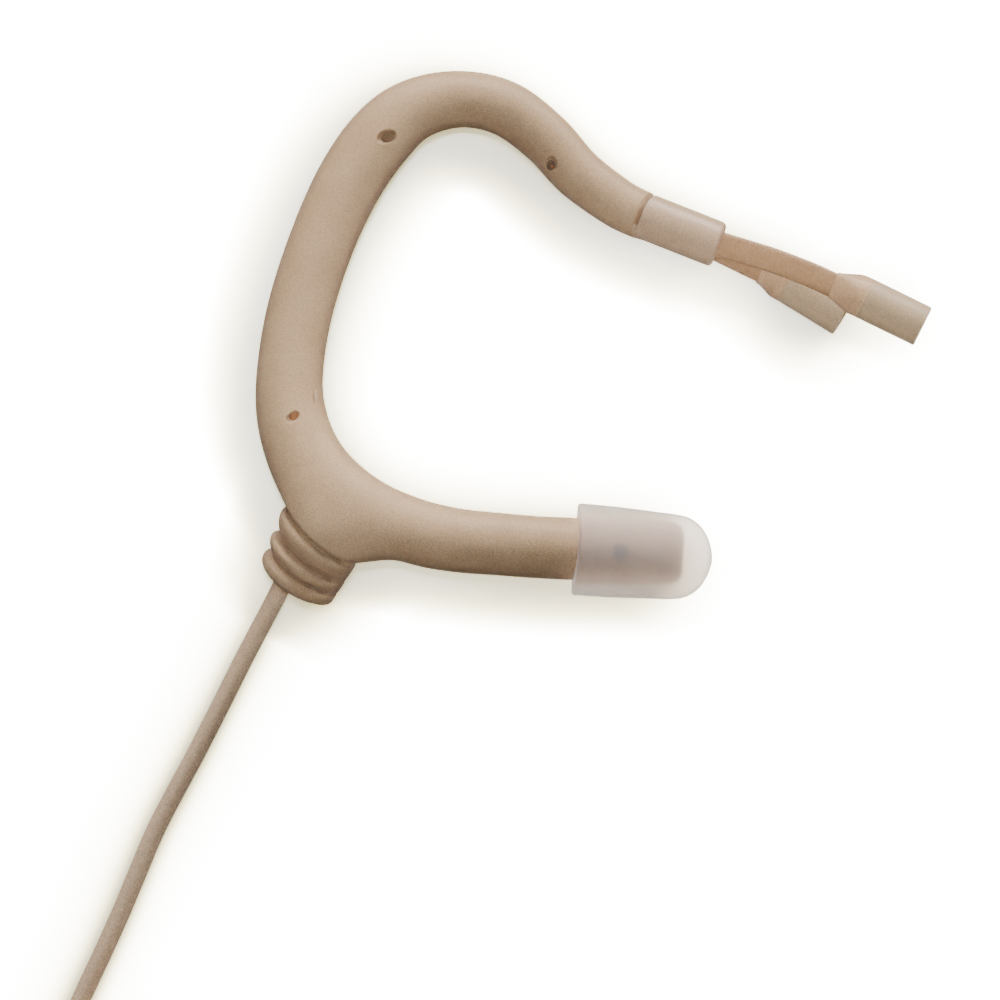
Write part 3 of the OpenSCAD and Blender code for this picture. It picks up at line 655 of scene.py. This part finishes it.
def boot_frame(place):
    """Centre, direction and half sizes of the boot's section at a place from 0 to 1."""
    yaw = math.radians(boot_yaw[0] + (boot_yaw[1] - boot_yaw[0]) * place)
    t = np.array([math.cos(yaw) * math.cos(boot_dip), math.sin(yaw) * math.cos(boot_dip),
                  -math.sin(boot_dip)])
    half = boot_root_half + (boot_end_half - boot_root_half) * place
    return boot_root + (boot_end - boot_root) * place, t, half


def boot_ring(place, scale, n):
    centre, t, half = boot_frame(place)
    return ring([*centre, half[0] * scale, half[1] * scale], t, n)


VOXEL = 0.2
SIDES = 64
LOOP_END_X = -8.15        # where the loop's skin ends, along the collar from its mouth
bm = bmesh.new()
add_skin(bm, rings_of(loop_path, SIDES))
add_skin(bm, rings_of(arm_path, SIDES))
BLEND_FROM = LOOP_STEPS * 13    # the junction's webs start at this step of the loop's path
WEB_SIDES = 40
for i in range(BLEND_FROM, len(loop_path), 2):
    hull = bmesh.new()
    points = [p for j in (i - 1, i) for p in ring(loop_path[j], heading(loop_path, j), WEB_SIDES)]
    points += [p for place, scale in ((-0.3, 0.97), (0.0, 1.0))
               for p in boot_ring(place, scale, WEB_SIDES)]
    for p in points:
        hull.verts.new(p)
    made = bmesh.ops.convex_hull(hull, input=hull.verts)
    bmesh.ops.delete(hull, geom=[v for v in hull.verts if not v.link_faces], context="VERTS")
    hull_mesh = bpy.data.meshes.new("hull")
    hull.to_mesh(hull_mesh)
    hull.free()
    bm.from_mesh(hull_mesh)
    bpy.data.meshes.remove(hull_mesh)
moulding_mesh = remeshed(bm, VOXEL)
co, edges = points_of(moulding_mesh), neighbours_of(moulding_mesh)
# the whole skin is evened out a little, and the junction's webs are melted together much more
SKIN_ROUNDS, JUNCTION_ROUNDS = 6, 70
blend_middle = np.array([-25.5, -16.5, 5.0])
from_middle = np.linalg.norm((co - blend_middle) * [1, 1, 0.6], axis=1)
to_root = (co - boot_root) @ boot_frame(0)[1]
junction = np.clip((10.5 - from_middle) / 4, 0, 1) * np.clip((-0.4 - to_root) / 1.2, 0, 1)
co = relaxed(co, edges, np.full(len(co), 0.5), SKIN_ROUNDS)
co = relaxed(co, edges, 0.5 * junction, JUNCTION_ROUNDS)
moulding_mesh.vertices.foreach_set("co", co.ravel())

# small holes that located the core wire in the mould: middle, half sizes and turn
LOOP_HOLE = (-20.4, 20.1, 0.72, 0.5, math.radians(20))
SLOPE_HOLE = (-4.2, 17.4, 0.4, 0.52, math.radians(-10))
LIMB_HOLE = (-29.75, -7.75, 0.5, 0.32, math.radians(35))
ARM_HOLE = (2.65, -21.25, 0.62, 0.62, 0.0)
HOLE_SIDES = 24


def oval(hole, grow, z):
    """A level ring of points, this much larger than the hole."""
    x, y, half_x, half_y, turn = hole
    a = 2 * math.pi * np.arange(HOLE_SIDES) / HOLE_SIDES
    u, v = half_x * grow * np.cos(a), half_y * grow * np.sin(a)
    c, s = math.cos(turn), math.sin(turn)
    return np.stack([x + c * u - s * v, y + s * u + c * v, np.full(HOLE_SIDES, z)], axis=1)


def add_hole(bm, hole, bottom, rim):
    """A straight hole with a softly flared rim, cut from above."""
    add_skin(bm, [oval(hole, grow, z) for z, grow in (
        (bottom, 0.92), (bottom + 0.15, 1.0), (rim - 0.5, 1.0), (rim - 0.25, 1.08),
        (rim - 0.05, 1.25), (rim + 0.15, 1.6), (rim + 2.0, 2.2))])


bm = bmesh.new()
add_hole(bm, LOOP_HOLE, 4.2, 6.42)
add_hole(bm, SLOPE_HOLE, 4.0, 5.32)
add_hole(bm, LIMB_HOLE, 5.0, 7.75)
add_hole(bm, ARM_HOLE, 5.4, 7.5)
moulding_mesh = cut(moulding_mesh, bm)

# the loop ends in a plane that leans back, and the collar's groove starts there
LEAN = math.radians(15)
at_mouth = (Matrix.Translation(Vector(mouth))
            @ Matrix.Rotation(math.radians(collar_heading), 4, "Z")
            @ Matrix.Rotation(math.radians(-collar_rise), 4, "Y"))
bm = bmesh.new()
bmesh.ops.create_cube(bm, size=1.0, matrix=at_mouth @ Matrix.Translation((LOOP_END_X, 0, 0))
                      @ Matrix.Rotation(-LEAN, 4, "Y") @ Matrix.Translation((1.5, 0, 0))
                      @ Matrix.Diagonal((3.0, 7.0, 7.0, 1.0)))
moulding_mesh = cut(moulding_mesh, bm)

# the lower arm flexes, so the skin is parted where the arm leaves the junction
seam_at = Vector((-21.6, -18.1, 5.15))
seam_to = Vector(heading(loop_path, LOOP_STEPS * 16 + 2))
bm = bmesh.new()
bm.from_mesh(moulding_mesh)
bpy.data.meshes.remove(moulding_mesh)
LOWER_END = -10           # the junction and the arm lie below this Y
near = [f for f in bm.faces if f.calc_center_median().y < LOWER_END]
geometry = list({v for f in near for v in f.verts})
geometry += list({e for f in near for e in f.edges})
geometry += near
bmesh.ops.bisect_plane(bm, geom=geometry, plane_co=seam_at, plane_no=seam_to, dist=0.002)
bm.normal_update()
normals = {tuple(round(c, 4) for c in v.co): v.normal.copy() for v in bm.verts}


def is_arm(f):
    c = f.calc_center_median()
    return c.y < LOWER_END and (c - seam_at).dot(seam_to) > 0


def part_of_skin(keep_arm, name):
    """The arm's part of the skin or the rest, with the whole skin's normals, so no seam shows."""
    part = bm.copy()
    bmesh.ops.delete(part, geom=[f for f in part.faces if is_arm(f) != keep_arm], context="FACES")
    mesh = bpy.data.meshes.new(name)
    part.to_mesh(mesh)
    part.free()
    mesh.shade_smooth()
    custom = [normals.get(tuple(round(c, 4) for c in v.co), v.normal) for v in mesh.vertices]
    mesh.normals_split_custom_set_from_vertices([tuple(n) for n in custom])
    mesh.transform(Matrix.Scale(MM, 4))
    return mesh


arm_mesh = part_of_skin(True, "lower_arm_skin")
loop_mesh = part_of_skin(False, "ear_loop_skin")
bm.free()
ear_loop = placed(loop_mesh, "ear_loop_skin", "headset", TAN)
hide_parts("ear_mount")
arm_skin = placed(arm_mesh, "lower_arm_skin", None, TAN)
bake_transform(arm_skin)
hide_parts("lower_arm")

# ---- What shows at the bottom of the small holes -----------------------------


def low_button(name, body, hole, top, look):
    """A low rounded button: the floor of a hole, or a small thing that shows on the skin."""
    bm = bmesh.new()
    add_skin(bm, [oval(hole, grow, top + z) for grow, z in (
        (1.3, -0.5), (1.25, -0.08), (0.95, -0.04), (0.55, -0.01), (0.1, 0.0))])
    finished(bm, name, body, look)


# the loop's and the slope's holes get a floor in painted shade
low_button("loop_hole_floor", "headset", LOOP_HOLE, 5.75, HOLE_SHADE_BROWN)
low_button("slope_hole_floor", "headset", SLOPE_HOLE, 4.75, HOLE_SHADE_BROWN)
low_button("limb_hole_floor", "headset", LIMB_HOLE, 7.15, HOLE_COPPER_AND_GLINT)
# a near-black disc just under the skin, painted shade for the arm's hole, so that it shows dark
# through the frosted cap
low_button("arm_hole_floor", "arm", (*ARM_HOLE[:2], 0.65, 0.65, 0.0), 7.45, HOLE_SHADE_DARK)
# a lighter nub in the slope hole's floor: a painted glint
low_button("slope_hole_glint_nub", "headset", (-4.02, 17.22, 0.12, 0.12, 0.0), 4.95, HOLE_COPPER_AND_GLINT)
low_button("mould_mark", "headset", (-27.66, -5.7, 0.11, 0.55, 0.0), 6.85, TAN_COLLAR)

# ---- Strain relief boot --------------------------------------------------

cable_fine = smooth(cable_points, 24)
boot_tip, boot_tip_dir, boot_tip_half = boot_frame(1.0)
nearest = int(np.argmin(np.abs((cable_fine - boot_tip) @ boot_tip_dir)))
cable_out = cable_fine[nearest]

# place along the boot and half width of each groove, on the boot's own scale from 0 to 1
GROOVES = ((0.055, 0.05), (0.46, 0.036), (0.755, 0.03), (1.12, 0.03))
GROOVE_DEPTH = 0.21       # share of the boot's half size
BOOT_SIDES = 96
RIB_LEAN = 0.55           # below 1, a rib's crest lies nearer its start
RIB_FLATNESS = 2.1
RIB_ROUNDNESS = 0.65
SHADED_FROM = 0.45        # the grooves get painted shade where they are this share of full depth


def boot_scale(place, flank):
    """How far out the boot's skin stands: ribs that are highest just past each groove.
    The grooves are full where flank is 1 and fade where it is less."""
    rib = 0.0
    for (a, half_a), (b, half_b) in zip(GROOVES, GROOVES[1:]):
        start, stop = a + half_a, b - half_b
        if start < place < stop:
            f = ((place - start) / (stop - start)) ** RIB_LEAN
            rib = (1 - abs(2 * f - 1) ** RIB_FLATNESS) ** RIB_ROUNDNESS
    if place <= GROOVES[0][0]:
        rib = min(1.0, max(0.0, GROOVES[0][0] - 0.04 - place) / 0.05) * 0.4
    scale = 1.0 - GROOVE_DEPTH * (1 - rib) * flank
    if place > 0.9:
        scale -= 0.10 * ((place - 0.9) / 0.1) ** 2.6
    return scale if place > 0 else min(scale, 0.985)


bm = bmesh.new()
angles = 2 * math.pi * np.arange(BOOT_SIDES) / BOOT_SIDES
flank = 1 - 0.93 * np.clip((np.cos(angles) - 0.66) / 0.3, 0, 1) ** 1.2
rings = []
places = np.linspace(-0.1, 1.0, 111)
for place in places:
    centre, t, half = boot_frame(place)
    side, up = section_axes(t)
    scale = np.array([boot_scale(place, f) for f in flank])
    rings.append(centre + np.outer(half[0] * scale * np.cos(angles), side)
                 + np.outer(half[1] * scale * np.sin(angles), up))
side, up = section_axes(boot_tip_dir)
for r, deep, mix in ((3.1, -0.09, 0.0), (2.2, -0.12, 0.35), (1.45, -0.1, 0.9), (1.2, 0.0, 1.0),
                     (1.05, 0.2, 1.0), (1.02, 0.6, 1.0), (1.0, 1.6, 1.0)):
    centre = boot_tip * (1 - mix) + cable_out * mix - deep * boot_tip_dir
    squash = r * (boot_tip_half / boot_tip_half.mean() if mix < 0.5 else np.ones(2))
    rings.append(centre + np.outer(squash[0] * np.cos(angles), side)
                 + np.outer(squash[1] * np.sin(angles), up))
add_skin(bm, rings)
boot_piece = finished(bm, "strain_relief_boot", "headset", TAN)
boot_piece.data.materials.append(SHADED_TAN)
# the grooves' deep middles take the painted shade
for i, place in enumerate((places[:-1] + places[1:]) / 2):
    if any(abs(place - at) < half for at, half in GROOVES):
        for k in np.flatnonzero(flank > SHADED_FROM):
            boot_piece.data.polygons[i * BOOT_SIDES + int(k)].material_index = 1
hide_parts("strain_relief")

# ---- Collar ----------------------------------------------------------------

GROOVE_EDGE = -7.57       # the groove beside the loop lies before this place
GROOVE_END = -8.5
FILLED_R = 2.37           # where the groove has faded out


def groove_wave(angle, x, r):
    """The groove beside the loop fades out on the inner side. Angle 0 is the outer side."""
    if x > GROOVE_EDGE:
        return r
    turn = (math.degrees(angle) + 90) % 360 - 90
    share = min(1.0, max(0.0, (133 - turn) / 22)) * min(1.0, max(0.0, (turn + 80) / 18))
    return r + (FILLED_R - r) * (1 - share) * (1 if x > GROOVE_END else 0)


outline = [[-9.1, 1.85], [-8.7, 1.9], [-8.45, 1.92], [-8.2, 1.93], [-7.84, 1.94], [-7.76, 2.0],
           [-7.68, 2.2], [-7.6, 2.315]]
outline += [[x, collar_r] for x in np.linspace(-7.55, -0.7, 14)]
outline += arc([-0.5, collar_r - 0.5], 0.5, 90, 8, 8)
outline += [[0, 1.75], [0, 1.2], [0, 0.5]]
bm = bmesh.new()
rings = lathe(outline, 96, wave=groove_wave)
for r in rings:
    leaning = np.clip((-6.6 - r[:, 0]) / 0.9, 0, 1)
    r[:, 0] -= math.tan(LEAN) * r[:, 2] * leaning
add_skin(bm, rings)
collar_mesh = mesh_of(bm)
# the two slots that the booms' round roots sit in: middle, width and thickness of each boom
front_root = (0.1, 0.65, 2.5, 1.1)
rear_root = (-0.45, -0.62, 2.3, 1.1)
SLOT_PLAY = 0.1           # beside the ribbon, so that it can swing
SLOT_PLAY_FLAT = 0.05
for y, z, w, t in (front_root, rear_root):
    slot_bm = bmesh.new()
    slot = rounded_box(w / 2 + SLOT_PLAY, t / 2 + SLOT_PLAY_FLAT, 0.4, 5)
    add_skin(slot_bm, [[[x, y + p[0], z + p[1]] for p in slot] for x in (-1.9, 0.6)])
    collar_mesh = cut(collar_mesh, slot_bm)
# the groove's floor is coloured darker: partly a seam line, partly painted shade
seam_shade_faces = [f.index for f in collar_mesh.polygons
              if f.center.x < -7 and math.hypot(f.center.y, f.center.z) < 2.2]
collar_mesh.transform(at_mouth)
collar_mesh.transform(Matrix.Scale(MM, 4))
collar = placed(collar_mesh, "collar_skin", "headset", TAN_COLLAR, sharp=38)
collar_mesh.materials.append(SEAM_AND_SHADE)
for i in seam_shade_faces:
    collar_mesh.polygons[i].material_index = 1
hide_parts("end_collar")

# ---- Booms, their boots and the capsules -------------------------------------

CAPSULE_R = 2.1
BOOT_WALL = 0.14          # how far a boot stands out round its ribbon


def boom_pieces(which, line, turn, boot_start, width, thick, capsule_len, body):
    """One microphone: its ribbon along the line, the boot and the capsule, in the collar's frame.
    turn is the capsule's heading in degrees."""
    line = np.array(line, float)
    tip = line[-1]
    half_w, half_t = width / 2, thick / 2
    # ribbon, with its round root inside the collar
    ribbon = [[-half_w * math.sin(math.radians(a)), line[0][1], line[0][2],
               half_w * math.cos(math.radians(a)), half_t] for a in (80, 65, 50, 35, 20, 8)]
    stations = [[*p, half_w, half_t] for p in line[:-1]]
    ribbon = np.concatenate([ribbon, smooth(stations, 10)])
    bm = bmesh.new()
    add_skin(bm, rings_of(ribbon, 40, 0.55))
    boom = finished(bm, which + "_boom_ribbon", body, PEACH, move=at_mouth)
    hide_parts(which + "_boom")
    # boot: from the ribbon's section to the capsule's round one
    c, s = math.cos(math.radians(turn)), math.sin(math.radians(turn))
    out = np.array([c, s, 0.0])
    start = np.array(boot_start, float)
    span = np.linalg.norm(tip - start)
    away = unit(tip - start)
    path, shapes = [], []
    for f in np.linspace(0, 1, 30):
        g = f * f * (3 - 2 * f)
        p = start * (1 - g) + tip * g + span * f * (1 - f) * ((1 - f) * away - f * out)
        early = min(1.0, f / 0.8)
        g = early * early * (3 - 2 * early)
        lip = 0.86 + 0.14 * min(1.0, f / 0.06) ** 0.5
        path.append([*p, ((half_w + BOOT_WALL) * (1 - g) + CAPSULE_R * g) * lip,
                     ((half_t + BOOT_WALL) * (1 - g) + CAPSULE_R * g) * lip])
        shapes.append(0.6 + 0.4 * min(1.0, g * 1.3))
    path = np.array(path)
    rings = []
    for i in range(len(path)):
        t = unit(heading(path, i) * (1 - i / (len(path) - 1)) + out * (i / (len(path) - 1)))
        rings.append(ring(path[i], t, 48, shapes[i]))
    flat = ring([*(tip + 0.02 * out), CAPSULE_R - 0.02, CAPSULE_R - 0.02], out, 48)
    bm = bmesh.new()
    add_skin(bm, rings + [flat])
    boot = finished(bm, which + "_boot_skin", body, PEACH_BOOT, move=at_mouth)
    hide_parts(which + "_boot")
    # capsule housing: a thin tube with a bevelled front and a sound port
    n = capsule_len
    outline = [[0.0, 0.3], [0.0, CAPSULE_R - 0.01], [0.02, CAPSULE_R]]
    outline += [[x, CAPSULE_R] for x in np.linspace(0.4, n - 0.4, 12)]
    outline += arc([n - 0.2, CAPSULE_R - 0.2], 0.2, 90, 0)
    outline += [[n, 1.1], [n - 0.04, 0.98], [n - 0.14, 0.92], [n - 0.3, 0.9], [n - 0.5, 0.9],
                [n - 0.5, 1.7], [0.4, 1.7], [0.4, 0.3]]
    bm = bmesh.new()
    add_loop_skin(bm, lathe(outline, 80))
    place = at_mouth @ Matrix.Translation(Vector(tip)) @ Matrix.Rotation(math.radians(turn), 4, "Z")
    shell = finished(bm, which + "_capsule_shell", body, GREY_TAN, sharp=45,
                     move=place)
    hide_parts(which + "_housing")


boom_pieces("front", [[0, 0.1, 0.65], [2.8, 0.32, 0.78], [5.7, 0.5, 1.2], [9.6, 0.5, 1.85],
                      [12.1, 0.35, 2.2], [13.3, 0.31, 2.25], [15.5, 0.3, 2.25]],
            -4.6, [12.0, 0.36, 2.19], 2.5, 1.1, 6.4, "front_mic")
boom_pieces("rear", [[0, -0.45, -0.62], [1.8, -0.58, -0.85], [3.4, -0.68, -1.35],
                     [4.9, -0.74, -1.85], [6.1, -0.77, -2.2], [7.7, -0.8, -2.3]],
            -9.8, [4.7, -0.735, -1.79], 2.3, 1.1, 6.6, "rear_mic")

# ---- Silicone cap -------------------------------------------------------------

CAP_R, CAP_LEN = 4.6, 13.8
CAP_GRIP = 0.12           # the soft cap grips the arm: its bore lies this far inside the skin
TIP_GRIP = 0.3
CAP_DROOP = 0.03          # the cap's outside points this much further down than its bore
RIM_LEAN = 0.5            # the rim's upper half stands back by this
outline = [[arm_plug_len - TIP_GRIP, 0.08]]
outline += arc([arm_plug_len - tip_round, arm_r(arm_plug_len) - tip_round], tip_round - TIP_GRIP,
               0, 82, 8)
outline += [[x, arm_r(x) - CAP_GRIP] for x in (8.5, 6, 3, 1)]
bore_count = len(outline)
outline += [[0.4, arm_r(0.4) - CAP_GRIP], [0.05, arm_r(0.4) + 0.12], [0.0, CAP_R - 0.5]]
outline += arc([0.3, CAP_R - 0.3], 0.3, 180, 90)
# place along the cap, and how far inside its radius the skin lies there
outline += [[x, CAP_R - inside] for x, inside in (
    (1.2, 0), (2.5, 0.02), (4, 0.05), (6, 0.14), (8, 0.25), (9.4, 0.31), (10.4, 0.4), (11.0, 0.52),
    (11.6, 0.76), (12.2, 1.16), (12.7, 1.66), (13.1, 2.22), (13.4, 2.86), (13.62, 3.5),
    (13.75, 4.1))]
outline += [[CAP_LEN, 0.08]]
rings = lathe(outline, 96)
for i, r in enumerate(rings):
    r[:, 0] += (RIM_LEAN * np.clip(r[:, 2] / CAP_R, 0, 1) ** 2
                * np.clip((3 - r[:, 0]) / 3, 0, 1))
    if i >= bore_count:
        r[:, 1] -= CAP_DROOP * r[:, 0]
        r[:, 0] += CAP_DROOP * r[:, 1]
bm = bmesh.new()
add_skin(bm, rings)
cap_place = (Matrix.Translation(Vector(cap_rim))
             @ Matrix.Rotation(math.radians(cap_heading), 4, "Z"))
cap = finished(bm, "silicone_cap_skin", "cap", SILICONE, move=cap_place)
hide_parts("silicone_cap")
cap.visible_shadow = False        # the arm inside is lit through the cap

# ---- Plug: boot with flexing slots, and a barrel with grip bands -----------------

PLUG_AT = (-6.0, -98.6, 4.0)
plug_place = Matrix.Translation(Vector(PLUG_AT))
bore = CABLE_D / 2 + 0.06
SLOTS = 6
SLOT_FIRST = 1.3          # middle of the first slot
SLOT_PITCH = 1.25
SLOT_HALF = 0.3
SLOT_DEPTH = 0.45
FLUTES = 36
FLUTE_DEPTH = 0.14
FLUTED = ((11.2, 14.2), (21.4, 23.6))


def boot_rib_wave(angle, x, r):
    """Flexing slots in pairs, one on each side, turned a quarter from one pair to the next."""
    for i in range(SLOTS):
        middle = SLOT_FIRST + SLOT_PITCH * i
        d = abs(x - middle) / SLOT_HALF
        if d < 1:
            a = (math.degrees(angle) + (90 if i % 2 else 0)) % 180
            inside = min(1.0, max(0.0, (abs(a - 90) - 22) / 8))
            return r - SLOT_DEPTH * math.cos(math.pi / 2 * d) ** 0.4 * inside
    return r


outline = [[0.0, bore], [0, 1.55]] + arc([0.25, 1.6], 0.22, 180, 90, 4)
outline += [[x, 1.84 + 0.66 * (x - 0.4) / 8.5] for x in np.linspace(0.45, 8.9, 86)]
outline += [[9.15, 2.5], [10.3, 2.5], [10.3, 2.95], [12, 2.95], [12, bore]]
bm = bmesh.new()
add_loop_skin(bm, lathe(outline, 96, wave=boot_rib_wave))
plug_boot = finished(bm, "plug_boot_ribbed", "headset", RUBBER, sharp=50,
                     move=plug_place)
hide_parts("plug_boot")


def grip_wave(angle, x, r):
    """Straight flutes in two bands of the barrel."""
    for a, b in FLUTED:
        if a < x < b:
            end = min(x - a, b - x, 0.25) / 0.25
            return r - FLUTE_DEPTH * end * (0.5 + 0.5 * math.cos(FLUTES * angle))
    return r


outline = [[10.2, 2.6], [9.2, 2.6], [9.2, 3.0]] + arc([9.7, 3.0], 0.5, 180, 90, 5)
outline += [[x, 3.5] for x in (10.6, 11.2, 11.26, 11.32, 11.45, 13.95, 14.08, 14.14, 14.2, 15.2)]
outline += [[15.3, 3.44], [15.45, 3.44], [15.55, 3.5], [20.2, 3.5], [20.3, 3.44], [20.45, 3.44],
            [20.55, 3.5]]
outline += [[x, 3.5] for x in (21.4, 21.46, 21.52, 21.65, 23.35, 23.48, 23.54, 23.6, 24.9)]
outline += [[25.1, 3.42], [25.2, 3.2], [25.2, 3.05], [10.2, 3.05]]
bm = bmesh.new()
add_loop_skin(bm, lathe(outline, 144, wave=grip_wave))
barrel = finished(bm, "plug_barrel_fluted", "headset", NICKEL, sharp=35, move=plug_place)
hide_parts("plug_barrel")

# ---- Floor and lights -------------------------------------------------------------

# the floor's shadow is painted into its glow, in place of a cast one
HALO_REACH = 7            # the floor's glow dims this close to the piece
HALO_STEEPNESS = 2.6
GLOW_UNDER, GLOW_OPEN = 0.9, 16.0
FLOOR_HALF = 3.0          # metres
FLOOR_DROP = 0.00002      # metres; the floor lies this far under the piece
floor_material, tree, shader = new_material("studio_floor")
grain = noise(tree, 0.02, 2)
tree.links.new(mixed(tree, grain.outputs["Fac"], (0.955, 0.95, 0.935), (0.975, 0.97, 0.96)),
               shader.inputs["Base Color"])
shader.inputs["Roughness"].default_value = 0.9
shader.inputs["Specular IOR Level"].default_value = 0.1
# the floor glows, and a painted shadow dims and yellows it softly close round the piece, most on
# the side away from the key light
hollow = tree.nodes.new("ShaderNodeAmbientOcclusion")
hollow.inputs["Distance"].default_value = HALO_REACH * MM
hollow.samples = 16
towards_light = tree.nodes.new("ShaderNodeCombineXYZ")
for axis, share in zip("XYZ", (0.33, 0.42, 0.84)):
    towards_light.inputs[axis].default_value = share
tree.links.new(towards_light.outputs["Vector"], hollow.inputs["Normal"])
steep = tree.nodes.new("ShaderNodeMath")
steep.operation = "POWER"
steep.inputs[1].default_value = HALO_STEEPNESS
tree.links.new(mapped(tree, hollow.outputs["AO"], 0.5, 0.97, 0, 1), steep.inputs[0])
open_share = steep.outputs[0]
tree.links.new(mixed(tree, mapped(tree, open_share, 0.15, 1, 0, 1),
                     (1.0, 0.87, 0.42), (1.0, 0.995, 0.985)),
               shader.inputs["Emission Color"])
tree.links.new(mapped(tree, open_share, 0, 1, GLOW_UNDER, GLOW_OPEN),
               shader.inputs["Emission Strength"])
bm = bmesh.new()
bm.faces.new([bm.verts.new((x * FLOOR_HALF, y * FLOOR_HALF, -FLOOR_DROP))
              for x, y in ((-1, -1), (1, -1), (1, 1), (-1, 1))])
floor_mesh = bpy.data.meshes.new("studio_floor")
bm.to_mesh(floor_mesh)
bm.free()
floor_mesh.materials.append(floor_material)
floor = bpy.data.objects.new("studio_floor", floor_mesh)
bpy.context.scene.collection.objects.link(floor)
floor.visible_diffuse = False     # the pale floor throws no light up under the piece
floor.visible_glossy = False


def placed_light(data, place, target):
    """A light that points at the target and doesn't show inside the see-through cap."""
    light = bpy.data.objects.new(data.name, data)
    bpy.context.scene.collection.objects.link(light)
    light.location = place
    light.rotation_euler = (Vector(target) - Vector(place)).to_track_quat("-Z", "Y").to_euler()
    light.visible_transmission = False
    return light


def area_light(name, place, target, size, power_w, colour=(1, 1, 1)):
    data = bpy.data.lights.new(name, "AREA")
    data.shape = "RECTANGLE"
    data.size, data.size_y = size
    data.energy = power_w
    data.color = colour
    return placed_light(data, place, target)


def spot_light(name, place, target, degrees, power_w, glossy=False):
    data = bpy.data.lights.new(name, "SPOT")
    data.energy = power_w
    data.spot_size = math.radians(degrees)
    data.spot_blend = 1.0
    data.shadow_soft_size = 0.03
    light = placed_light(data, place, target)
    light.visible_glossy = glossy
    return light


middle = (VIEW_CENTRE[0] * MM, VIEW_CENTRE[1] * MM, 0.0)
area_light("key_light", (0.15, 0.75, 0.14), middle, (1.2, 0.25), 26.5, (1.0, 0.98, 0.95))
area_light("top_light", (-0.1, 0.2, 1.0), middle, (0.4, 0.4), 0.7, (1.0, 0.985, 0.965))
spot_light("slope_light", (0.02, 0.06, 0.3), (0.002, 0.018, 0.004), 6, 5)
spot_light("limb_light", (-0.03, 0.04, 0.28), (-0.034, 0.004, 0.006), 8.2, 20)
spot_light("boom_light", (0.06, -0.12, 0.23), (0.0285, 0.0015, 0.006), 7.5, 21)
spot_light("boot_light", (0.053, 0.1215, 0.145), (-0.0315, -0.0245, 0.004), 3.8, 13, glossy=True)
spot_light("cap_light", (0.02, 0.05, 0.27), (0.005, -0.0215, 0.005), 5.5, 5)
spot_light("cap_fill", (0.02, -0.15, 0.15), (0.005, -0.0215, 0.005), 6, 3)

world = bpy.data.worlds.new("studio")
world.use_nodes = True
background = world.node_tree.nodes["Background"]
background.inputs["Color"].default_value = (1.0, 0.985, 0.965, 1)
background.inputs["Strength"].default_value = 0.24
bpy.context.scene.world = world
